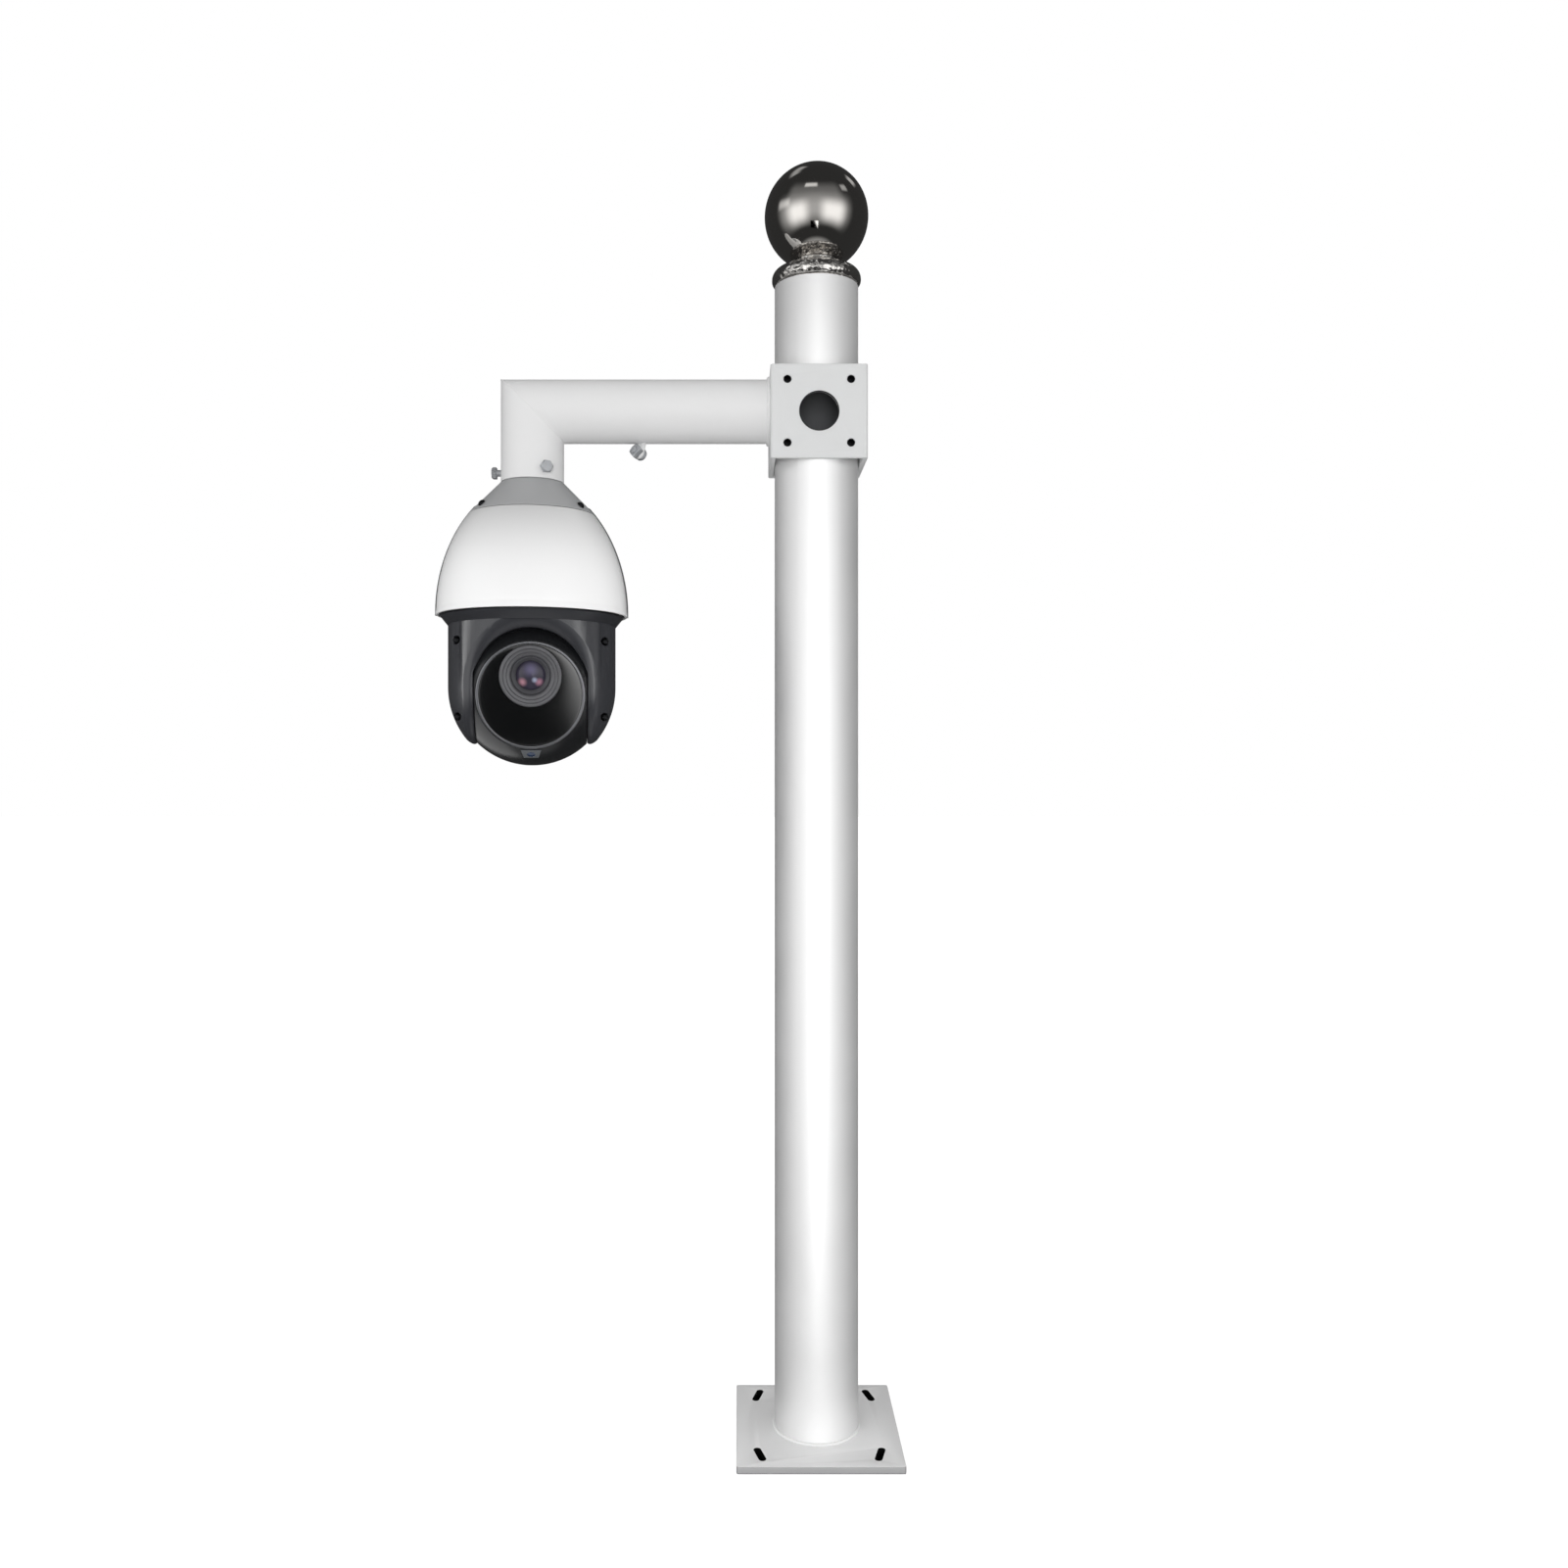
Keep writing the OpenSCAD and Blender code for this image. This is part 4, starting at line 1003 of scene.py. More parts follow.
@dataclass
class PoleAndCollar:
    """The base plate, the pole and the square mounting collar. Sizes are in millimetres."""

    plate_t: float = 6.0
    radius: float = 38.0
    wall: float = 3.0
    top: float = 1042.0
    collar_mid: float = 919.0
    hole_r: float = 18.5
    weld: float = 1.3

    def build(self) -> None:
        """Makes and places the plate, the pole with its foot weld, and the collar."""
        Piece("base_plate_edge_rounded", PLATE_COAT, "plate_paint", nodes=("base_plate",)).place(self.plate())
        Piece("pole_round_tube", POLE_COAT, "pole_paint", nodes=("pole_tube",)).place(self.tube())
        foot = closed_path("foot_path", ring_path(self.radius + 0.5, at(z=self.plate_t + 0.5)))
        Piece("foot_weld_bead", PLATE_COAT, "plate_paint").place(
            BEAD.grow(foot, PLATE_COAT, leg=self.weld * MM, ripple=0.0035, depth=0.0002))
        Piece("mounting_collar", COLLAR_COAT, "pole_paint", nodes=("mount_collar",)).place(self.collar())
        self.tapped_holes()

    def collar(self) -> bpy.types.Mesh:
        """Refines the collar, and leaves the walls of its cable holes bare.

        Returns:
            The collar's mesh.
        """
        mesh = refined("mount_collar", 0.8)
        mesh.materials.append(COLLAR_COAT.material())
        mesh.materials.append(MILL_SCALE.material())
        for face in mesh.polygons:
            height = face.center.z - self.collar_mid * MM
            for along, across in (("y", "x"), ("x", "y")):
                near = math.hypot(getattr(face.center, across), height) < (self.hole_r + 0.4) * MM
                if near and abs(getattr(face.normal, along)) < 0.5:
                    face.material_index = 1
        return mesh

    def plate(self) -> bpy.types.Mesh:
        """Refines the plate; its cut edges are a darker grey than its faces, and the walls of its slots are near black
        as painted shade.

        Returns:
            The plate's mesh.
        """
        mesh = refined("base_plate", 0.4)
        for finish in (PLATE_COAT, CUT_EDGE, SLOT_WALL_SHADE):
            mesh.materials.append(finish.material())
        for face in mesh.polygons:
            # Side faces: the outer cut edges get the darker grey, the slot walls the painted shade.
            if abs(face.normal.z) < 0.6:
                outside = max(abs(face.center.x), abs(face.center.y)) > 0.0725
                face.material_index = 1 if outside else 2
        return mesh

    def tapped_holes(self) -> None:
        """Sets a blackened threaded insert with a closed bottom into each screw hole of the collar's three free faces;
        its near black closed bottom is painted shade deep in the hole.
        """
        # The profile is closed at its bottom: a near black disc that paints the shade deep in each hole.
        insert = [(0, 33.5), (3.4, 33.5), (3.4, 42.4), (3.1, 42.7), (2.7, 42.4), (2.5, 42.0), (2.5, 34.5), (0, 34.5)]
        parts = []
        for face in (0, 90, 180):
            for x, z in ((-28, -28), (28, -28), (-28, 28), (28, 28)):
                parts.append(lathe(insert, at(z=self.collar_mid) @ turned(face, "Z") @ at(x, 0, z) @ turned(90, "X"),
                                   32, False))
        Piece("collar_inserts_and_hole_shade", BLACK_STEEL, "zinc_steel").place(mesh_of(joined(parts), "inserts"))

    def tube(self) -> bpy.types.Mesh:
        """Turns the tube, drills its three cable holes and leaves its inside bare.

        Returns:
            The tube's mesh.
        """
        inner = self.radius - self.wall
        profile = rounded([(self.radius, self.plate_t), (self.radius, self.top), (inner, self.top),
                           (inner, self.plate_t)], 0.6)
        tube = mesh_of(lathe(profile), "pole")
        middle = at(z=self.collar_mid)
        mesh = tube
        for turn, low, high in ((turned(90, "X"), 5, 60), (turned(90, "Y"), -60, 60)):
            hole = [(0, low), (self.hole_r, low), (self.hole_r, high), (0, high)]
            mesh = cut(mesh, [lathe(hole, middle @ turn, 64, False)])
        mesh.materials.append(POLE_COAT.material())
        mesh.materials.append(MILL_SCALE.material())
        for face in mesh.polygons:
            face.material_index = int(math.hypot(face.center.x, face.center.y) < (inner + 0.3) * MM)
        return mesh


@dataclass
class Arm:
    """The arm, the drop tube, the weld beads, the earthing lug and the lock screws. Sizes are in millimetres."""

    radius: float = 28.5
    bore: float = 25.7
    axis_z: float = 929.0
    start: float = -42.9
    drop_end: float = 864.0
    lock_z: float = 873.0
    lock_gap: float = 4.2
    steps: int = 128

    def build(self) -> None:
        """Makes and places the two tubes with their beads, and the small hardware."""
        Piece("arm_round_tube", ARM_COAT, "pole_paint", nodes=("arm_tube",)).place(self.arm())
        Piece("drop_round_tube", ARM_COAT, "pole_paint", nodes=("drop_tube",)).place(self.drop())
        root = closed_path("arm_path", ring_path(self.radius + 0.4, at(self.start - 0.6, 0, self.axis_z)
                                                 @ turned(90, "Y")))
        Piece("arm_weld_bead", ARM_COAT, "pole_paint").place(
            BEAD.grow(root, ARM_COAT, leg=0.0019, ripple=0.0034, depth=0.0003))
        mitre = closed_path("mitre_path", [self.mitre_point(self.radius - 0.35, k) for k in range(self.steps)])
        Piece("mitre_weld_bead", ARM_COAT, "pole_paint").place(
            BEAD.grow(mitre, ARM_COAT, leg=0.0006, ripple=0.0024, depth=0.0001))
        Piece("earthing_lug", ARM_COAT, "pole_paint", nodes=("earth_lug",)).place(refined("earth_lug", 0.3))
        Piece("earthing_screw", ZINC_STEEL, "zinc_steel", nodes=("earth_bolt",)).place(refined("earth_bolt", 0.2))
        Piece("earthing_square_nut", ZINC_STEEL, "zinc_steel", nodes=("earth_nut",)).place(
            refined("earth_nut", 0.25))
        self.lock_screws()

    def mitre_point(self, radius: float, k: int) -> Vector:
        """Gives a point on the mitre between the two tubes.

        Args:
            radius: the distance from both tubes' axes.
            k: the number of the point, counted round the tubes.

        Returns:
            The point, in millimetres.
        """
        a = 2 * math.pi * k / self.steps
        return Vector((CAMERA_X - radius * math.cos(a), radius * math.sin(a), self.axis_z + radius * math.cos(a)))

    def arm(self) -> bpy.types.Mesh:
        """Lofts the level tube from the collar to the mitre.

        Returns:
            The mesh.
        """
        rings = []
        for radius, ends in ((self.radius, (0, 1)), (self.bore, (1, 0))):
            for end in ends:
                ring = [self.mitre_point(radius, k) for k in range(self.steps)]
                rings.append([Vector((p.x if end else self.start, p.y, p.z)) for p in ring])
        return mesh_of(loft(rings), "arm")

    def drop(self) -> bpy.types.Mesh:
        """Lofts the upright tube from the mitre to its lower end.

        Returns:
            The mesh.
        """
        rings = []
        for radius, ends in ((self.radius, (0, 1)), (self.bore, (1, 0))):
            for end in ends:
                ring = [self.mitre_point(radius, k) for k in range(self.steps)]
                rings.append([Vector((p.x, p.y, self.drop_end if end else p.z)) for p in ring])
        return mesh_of(loft(rings), "drop")

    def lock_screws(self) -> None:
        """Grows the three hexagon lock screws of the drop tube."""
        places = []
        for degrees in (-60, 60, 180):
            way = turned(degrees, "Z") @ Vector((1, 0, 0))
            seat = Vector((CAMERA_X, 0, self.lock_z)) + way * (self.radius + self.lock_gap)
            places.append((seat, way, math.radians(90)))
        Piece("lock_screws_hexagon", ZINC_STEEL, "zinc_steel", nodes=("lock_screws",)).place(
            HEX_SCREWS.grow(seats("lock_seats", places), ZINC_STEEL, across=0.01, head=0.0042, shank=0.003,
                            reach=0.008))


@dataclass
class Finial:
    """The polished cap and the hollow ball on the pole's end. Sizes are in millimetres."""

    foot: float = 1042.0
    cap_r: float = 40.5
    cap_h: float = 22.5
    neck_r: float = 21.5
    ball_r: float = 47.2

    def build(self) -> None:
        """Turns and places the cap and the ball."""
        top = self.foot + self.cap_h
        belly = [(self.cap_r - 5 + 5 * math.sin(a), self.foot + 6 - 5 * math.cos(a))
                 for a in (math.radians(d) for d in range(0, 91, 10))]
        shoulder = [(self.cap_r - 8 + 8 * math.sin(a), self.foot + 7 + 8.5 * math.cos(a))
                    for a in (math.radians(d) for d in range(90, -1, -10))]
        neck = [(self.neck_r + 6, self.foot + 15.5), (self.neck_r + 2, self.foot + 16.5),
                (self.neck_r + 0.4, self.foot + 18.9), (self.neck_r, top)]
        plug = [(0, top), (0, self.foot - 12), (34.5, self.foot - 12), (34.5, self.foot + 0.4),
                (self.cap_r - 5, self.foot + 0.4)]
        Piece("finial_cap_turned", POLISHED_CAST, "polished_steel", nodes=("finial_cap",)).place(
            mesh_of(lathe(belly + shoulder[1:] + neck + plug), "cap"))
        middle = top + math.sqrt(self.ball_r ** 2 - self.neck_r ** 2)
        low = math.asin(self.neck_r / self.ball_r)
        ball = [(self.ball_r * math.sin(a), middle - self.ball_r * math.cos(a))
                for a in (low + (math.pi - low) * k / 96 for k in range(97))]
        ball[-1] = (0.0, middle + self.ball_r)
        Piece("finial_ball_polished", POLISHED_STEEL, "polished_steel", nodes=("finial_ball",)).place(
            mesh_of(lathe([(0.0, top)] + ball, steps=192, closed=False), "ball"))


@dataclass
class CameraHousing:
    """The neck cone, the housing with its side ribs and the two shield halves. Sizes are in millimetres.

    The cone reaches 8 mm further down than in the CAD model, as the photograph shows it.
    """

    rim: float = 742.0
    high: float = 834.0
    drop_end: float = 864.0
    bulge: float = 746.0
    radius: float = 85.6
    rise: float = 120.0
    fullness: float = 1.9
    wall: float = 2.5
    rib_t: float = 3.0
    rib_proud: float = 1.4
    screw_turn: float = 35.0
    screw_z: float = 839.0

    def shield_r(self, z: float) -> float:
        """Gives the shield's outer radius at a height, in millimetres."""
        above = max(0.0, z - self.bulge) / self.rise
        return self.radius * math.sqrt(1 - above ** self.fullness)

    def build(self) -> None:
        """Makes and places the cone, the ribbed housing, the shield halves and their screws."""
        Piece("neck_cone_cast", CAST_CONE, "cone_grey", nodes=("neck_cone",)).place(self.cone())
        Piece("housing_with_ribs", CAST_HOUSING, "white_plastic", nodes=("camera_housing",)).place(
            refined("camera_housing", 0.0))
        sizes = {"low": self.rim * MM, "bulge": self.bulge * MM, "high": (self.high - 0.3) * MM,
                 "radius": self.radius * MM, "rise": self.rise * MM, "fullness": self.fullness,
                 "wall": -self.wall * MM}
        for name, node, way in (("sun_shield_front", "front_sun_shield", 180), ("sun_shield_back",
                                                                                "rear_sun_shield", 0)):
            half = SHIELD.grow(bpy.data.meshes.new("seed"), SHIELD_ASA, **sizes)
            half.transform(Matrix.Scale(MM, 4) @ camera_frame() @ turned(way, "Z") @ Matrix.Scale(1 / MM, 4))
            Piece(name, SHIELD_ASA, "white_plastic", nodes=(node,)).place(bevelled(half, 0.45, 3, 50))
        places = []
        for half_turn in (0, 180):
            for side in (-1, 1):
                turn = turned(CAMERA_TURN + half_turn + side * self.screw_turn, "Z")
                slope = math.atan2(self.shield_r(self.screw_z - 1) - self.shield_r(self.screw_z + 1), 2)
                way = turn @ Vector((math.cos(slope), 0, math.sin(slope)))
                seat = Vector((CAMERA_X, 0, self.screw_z)) + turn @ Vector((self.shield_r(self.screw_z), 0, 0))
                places.append((seat + way * 0.1, way, 0.4))
        Piece("shield_screws_cross", BLACK_STEEL, "zinc_steel", nodes=("shield_screws",)).place(
            CROSS_SCREWS.grow(seats("shield_seats", places), BLACK_STEEL, radius=0.0035, head=0.0024))

    def cone(self) -> bpy.types.Mesh:
        """Turns the cone and sets the two ribs on its sides.

        Returns:
            The mesh.
        """
        low_r, top_r = self.shield_r(self.high) - 0.4, 27.3
        body = lathe(rounded([(top_r, self.drop_end), (low_r, self.high + 0.8), (low_r, self.high), (17, self.high),
                              (17, self.drop_end)], 0.8), at(CAMERA_X))
        outline = [(top_r - 1, self.drop_end), (top_r + self.rib_proud, self.drop_end),
                   (low_r + self.rib_proud, self.high + 0.8), (low_r + self.rib_proud, self.high),
                   (low_r - 2, self.high)]
        ribs = [prism(outline, self.rib_t, camera_frame() @ turned(way, "Z")) for way in (0, 180)]
        return bevelled(mesh_of(joined([body, *ribs]), "cone"), 0.3, 2, 50)


@dataclass
class Yoke:
    """The skirt and the two yoke shells that pan. Sizes are in millimetres."""

    rim: float = 742.0
    radius: float = 75.4
    skirt_top: float = 82.1
    skirt_h: float = 8.0
    screw_x: float = 65.0
    screw_rows: tuple[float, ...] = (40.0, -27.0)
    seat_depth: float = 6.0

    def build(self) -> None:
        """Makes and places the skirt, the shells and their screws."""
        top = self.rim - 1
        skirt = rounded([(self.radius + 0.05, top), (self.skirt_top, top), (self.skirt_top - 0.6, top - 1),
                         (self.radius + 0.5, top - self.skirt_h), (self.radius + 0.05, top - self.skirt_h)], 0.5)
        Piece("yoke_skirt_ring", YOKE_PLASTIC, "black_matte", "yoke", ("yoke_skirt",)).place(
            mesh_of(lathe(skirt, at(CAMERA_X)), "skirt"))
        for name, node in (("yoke_shell_front", "yoke_front_shell"), ("yoke_shell_back", "yoke_rear_shell")):
            Piece(name, YOKE_PLASTIC, "black_gloss", "yoke", (node,)).place(refined(node, 0.5, 50))
        places = []
        for x in (-self.screw_x, self.screw_x):
            for z in self.screw_rows:
                skin = math.sqrt(self.radius ** 2 - self.screw_x ** 2 - min(0.0, z) ** 2)
                seat = camera_frame() @ Vector((x, self.seat_depth - skin, TILT_Z + z))
                places.append((seat, turned(CAMERA_TURN, "Z") @ Vector((0, -1, 0)), 0.3))
        Piece("yoke_screws_cross", BLACK_STEEL, "zinc_steel", "yoke", ("yoke_screws",)).place(
            CROSS_SCREWS.grow(seats("yoke_seats", places), BLACK_STEEL, radius=0.0035, head=0.003))


@dataclass
class Eye:
    """The ball that tilts, with its window, lens and light sensor. Sizes are in millimetres."""

    radius: float = 70.5
    half: float = 49.2
    window_y: float = 51.6
    lens_rise: float = 16.9
    barrel_r: float = 27.2

    @property
    def face_r(self) -> float:
        """Radius of the flat face behind the window ring."""
        return math.sqrt(self.radius ** 2 - self.window_y ** 2)

    def build(self) -> None:
        """Makes and places the shells, the window with its ring, the lens and the light sensor."""
        Piece("ball_shell_front", GLOSS_PLASTIC, "black_gloss", "eye", ("eye_front_shell",)).place(self.shell(True))
        Piece("ball_shell_back", GLOSS_PLASTIC, "black_gloss", "eye", ("eye_rear_shell",)).place(self.shell(False))
        self.window()
        self.lens()
        Piece("light_sensor_bezel", SENSOR_BEZEL, "sensor_grey", "eye", ("light_sensor",)).place(
            refined("light_sensor", 0.15))
        centre = ball_frame() @ turned(48.5, "X") @ turned(90, "X") @ at(z=self.radius)
        glass = [(0, 0.2), (3.6, 0.2), (3.6, 0.7), (2.6, 0.95), (1.3, 1.08), (0, 1.1)]
        Piece("light_sensor_dome", SENSOR_LENS, "lens_coated", "eye", ("light_sensor_lens",)).place(
            mesh_of(lathe(glass, centre, 48, False), "sensor"))

    def shell(self, front: bool) -> bpy.types.Mesh:
        """Turns the ball about its tilt axis and keeps the half in front of or behind the parting line.

        Args:
            front: whether the front half is wanted, with its flat face and window seat.

        Returns:
            The mesh.
        """
        side = math.acos(self.half / self.radius)
        arc = [(self.radius * math.sin(a), self.radius * math.cos(a))
               for a in (side + (math.pi - 2 * side) * k / 72 for k in range(73))]
        outline = rounded([(0, self.half)] + arc + [(0, -self.half)], 0.8, closed=False)
        bm = lathe(outline, turned(90, "Y"), 192, False)
        bmesh.ops.recalc_face_normals(bm, faces=bm.faces)
        seam = -0.08 if front else 0.08
        self.trim(bm, seam, front)
        if front:
            self.trim(bm, -self.window_y, False)
            face = min(bm.faces, key=lambda f: f.calc_center_median().y)
            bmesh.ops.inset_region(bm, faces=[face], thickness=2.3, depth=0)
            face = max((f for f in bm.faces if f.normal.y < -0.99), key=lambda f: f.calc_area())
            seat = bmesh.ops.extrude_discrete_faces(bm, faces=[face])["faces"]
            bmesh.ops.translate(bm, verts=list({v for f in seat for v in f.verts}), vec=(0, 3.6, 0))
        bmesh.ops.transform(bm, matrix=ball_frame(), verts=bm.verts)
        mesh = mesh_of(bm, "shell", 40)
        return cut(mesh, [self.bore()]) if front else mesh

    def bore(self) -> bmesh.types.BMesh:
        """Gives the round way that the lens barrel needs through the ball's face and the window."""
        way = [(0, 20), (self.barrel_r + 0.3, 20), (self.barrel_r + 0.3, 60), (0, 60)]
        return lathe(way, facing_front(self.lens_rise), 160, False)

    def trim(self, bm: bmesh.types.BMesh, y: float, keep_front: bool) -> None:
        """Cuts a solid at a depth and closes it there.

        Args:
            bm: the solid.
            y: the depth of the cut, in the ball's frame.
            keep_front: whether what lies in front of the cut stays.
        """
        geometry = bm.verts[:] + bm.edges[:] + bm.faces[:]
        found = bmesh.ops.bisect_plane(bm, geom=geometry, plane_co=(0, y, 0), plane_no=(0, 1, 0),
                                       clear_outer=keep_front, clear_inner=not keep_front)
        edges = [e for e in found["geom_cut"] if isinstance(e, bmesh.types.BMEdge)]
        bmesh.ops.contextual_create(bm, geom=edges)

    def window(self) -> None:
        """Turns the window, its gasket and the bright ring round it."""
        ring_r, window_r, face = self.face_r - 0.5, self.face_r - 2.6, self.window_y
        trim = rounded([(window_r - 0.5, face), (ring_r, face), (ring_r, face + 0.5), (ring_r - 0.6, face + 1),
                        (window_r - 0.2, face + 1), (window_r - 0.5, face + 0.6)], 0.25)
        Piece("window_trim_ring", TRIM_RING, "polished_steel", "eye", ("window_ring",)).place(
            mesh_of(lathe(trim, facing_front(), 192), "ring"))
        pane = [(0, face - 3.1), (window_r, face - 3.1), (window_r, face - 0.6), (window_r - 0.6, face - 0.15),
                (window_r - 2.5, face - 0.02), (0, face - 0.02)]
        Piece("smoked_window", SMOKED_WINDOW, "dark_window", "eye", ("front_window",)).place(
            cut(mesh_of(lathe(pane, facing_front(), 192, False), "pane"), [self.bore()]))

    def lens(self) -> None:
        """Turns the barrel, the retaining ring and the front glass."""
        f, r = self.window_y + 1.6, self.barrel_r
        outer = rounded([(14.3, 30), (r, 30), (r, f - 0.8), (r - 0.8, f), (r - 3, f), (r - 3.6, f - 1.6),
                         (r - 6, f - 1.6), (r - 6.4, f - 3.4), (r - 8.6, f - 3.8), (17.4, f - 5), (17.4, f - 11),
                         (14.3, f - 11)], 0.3, 2)
        Piece("lens_barrel_stepped", BARREL_FACE, "lens_black", "eye", ("lens_barrel",)).place(
            mesh_of(lathe(outer, facing_front(self.lens_rise), 160), "barrel"))
        keeper = rounded([(13, f - 11), (17.39, f - 11), (17.39, f - 6.4), (16, f - 5.8), (13, f - 7.6)], 0.25, 2)
        Piece("lens_retaining_ring", BARREL_ANODISED, "lens_black", "eye", ("lens_retainer",)).place(
            mesh_of(lathe(keeper, facing_front(self.lens_rise), 128), "keeper"))
        bulge, rim = 26.0, f - 11
        sag = bulge - math.sqrt(bulge ** 2 - 13 ** 2)
        dome = [(13 * k / 24, rim + sag - bulge + math.sqrt(bulge ** 2 - (13 * k / 24) ** 2)) for k in range(25)]
        glass = [(0, rim - 3.4), (14.2, rim - 3.4), (14.2, rim)] + dome[::-1]
        Piece("front_lens_glass", COATED_GLASS, "lens_coated", "eye", ("lens_glass",)).place(
            mesh_of(lathe(glass, facing_front(self.lens_rise), 96, False), "glass"))


@dataclass(frozen=True)
class InnerParts:
    """The parts inside the camera and the pole's cap, which keep their CAD meshes and get a true finish each."""

    finishes: tuple[tuple[Finish, tuple[str, ...]], ...] = (
        (ZINC_STEEL, ("finial_stud", "hub_nut", "board_posts", "module_tray")),
        (BARE_CAST, ("neck_adapter", "pan_plate", "pan_hub")),
        (POLISHED_STEEL, ("pan_bearing_outer", "pan_bearing_inner", "left_tilt_axle", "right_tilt_axle")),
        (BLACK_STEEL, ("pan_motor_stator", "tilt_motor_stator", "zoom_module")),
        (COPPER, ("pan_motor_rotor", "tilt_motor_rotor", "slip_ring")),
        (ACETAL, ("left_tilt_bush", "right_tilt_bush", "encoder_disc")),
        (LAMINATE, ("main_board", "encoder_board", "sensor_board", "ir_board")),
        (RUBBER, ("window_gasket",)),
        (LAMP_RESIN, ("ir_leds",)),
    )

    def dress(self) -> None:
        """Gives each inner CAD node its material."""
        for finish, nodes in self.finishes:
            for node in nodes:
                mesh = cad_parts[node].data
                mesh.materials.clear()
                mesh.materials.append(finish.material())
                LOG.info("%s: CAD mesh in %s", node, finish.name)


# Studio


@dataclass(frozen=True)
class Patch:
    """A soft bright patch of the room that gloss sees: its direction, half size and edge in degrees, its glow."""

    azimuth: float
    elevation: float
    half: Point2
    edge: float
    glow: float

    def light(self, tree: bpy.types.NodeTree, way: Sequence[bpy.types.NodeSocket]) -> bpy.types.NodeSocket:
        """Adds the patch's nodes.

        Args:
            tree: the room's material tree.
            way: the azimuth and the elevation of the direction, in degrees.

        Returns:
            The socket with the patch's glow in that direction.
        """
        glow = self.glow
        for angle, middle, half in zip(way, (self.azimuth, self.elevation), self.half):
            off = math_node(tree, "PINGPONG", math_node(tree, "SUBTRACT", angle, middle), 180.0)
            share = add(tree, "ShaderNodeMapRange", {
                "Value": off, "From Min": half - self.edge, "From Max": half + self.edge, "To Min": 1.0, "To Max": 0.0,
            }, interpolation_type="SMOOTHSTEP")
            glow = math_node(tree, "MULTIPLY", share.outputs["Result"], glow)
        return glow


@dataclass(frozen=True)
class Card:
    """A card that only gloss sees: place, the point it faces, size, glow of its two ends, and how the ramp leans."""

    name: str
    place: Point3
    faces: Point3
    size: Point2
    glow: Point2
    ramp: Point2
    lean: float

    def hang(self) -> None:
        """Makes the card and hides it from everything but reflections."""
        w, h = self.size[0] / 2, self.size[1] / 2
        turn = (Vector(self.faces) - Vector(self.place)).to_track_quat("Z", "Y").to_matrix().to_4x4()
        mesh = bpy.data.meshes.new(self.name)
        mesh.from_pydata([(-w, -h, 0), (w, -h, 0), (w, h, 0), (-w, h, 0)], [], [(0, 1, 2, 3)])
        mesh.transform(Matrix.Translation(self.place) @ turn)
        made, tree = glowing(self.name)
        off = add(tree, "ShaderNodeVectorMath", {0: add(tree, "ShaderNodeTexCoord").outputs["Object"], 1: self.place},
                  operation="SUBTRACT")
        lean = math.radians(self.lean)
        along = add(tree, "ShaderNodeVectorMath", {0: off.outputs[0], 1: (math.cos(lean), 0, math.sin(lean))},
                    operation="DOT_PRODUCT")
        shade = add(tree, "ShaderNodeMapRange", {
            "Value": along.outputs["Value"], "From Min": self.ramp[0], "From Max": self.ramp[1],
            "To Min": self.glow[0], "To Max": self.glow[1],
        }, interpolation_type="SMOOTHSTEP")
        tree.links.new(shade.outputs["Result"], tree.nodes["Emission"].inputs["Strength"])
        mesh.materials.append(made)
        seen_in_gloss_only(new_object(self.name, mesh))


@dataclass(frozen=True)
class Lamp:
    """A rectangular soft light: place, target and size in metres, power in watts, and the pieces it is kept to.

    Only a mirrored lamp shows in gloss; the other reflections are left to the room and the cards.
    """

    name: str
    place: Point3
    target: Point3
    size: Point2
    power: float
    pieces: tuple[str, ...] = ()
    mirrored: bool = False

    def hang(self) -> None:
        """Hangs the lamp, and keeps it to its pieces if it has any."""
        light = bpy.data.lights.new(self.name, "AREA")
        light.shape = "RECTANGLE"
        light.size, light.size_y = self.size
        light.energy = self.power
        lamp = bpy.data.objects.new(self.name, light)
        lamp.visible_glossy = self.mirrored
        bpy.context.scene.collection.objects.link(lamp)
        lamp.location = self.place
        lamp.rotation_euler = (Vector(self.target) - Vector(self.place)).to_track_quat("-Z", "Y").to_euler()
        if self.pieces:
            lit = bpy.data.collections.new(self.name + "_pieces")
            for name in self.pieces:
                lit.objects.link(bpy.data.objects[name])
            lamp.light_linking.receiver_collection = lit


def glowing(name: str) -> tuple[bpy.types.Material, bpy.types.NodeTree]:
    """Makes a white glow, and gives it with its tree so that its strength can be wired."""
    made = bpy.data.materials.new(name)
    made.use_nodes = True
    tree = made.node_tree
    tree.nodes.clear()
    glow = add(tree, "ShaderNodeEmission", {"Color": linear("#ffffff")})
    add(tree, "ShaderNodeOutputMaterial", {"Surface": glow.outputs[0]})
    return made, tree


def seen_in_gloss_only(obj: bpy.types.Object) -> None:
    """Marks a studio object that shows in reflections and nowhere else."""
    obj.visible_camera = False
    obj.visible_diffuse = False
    obj.visible_transmission = False
    obj.visible_shadow = False


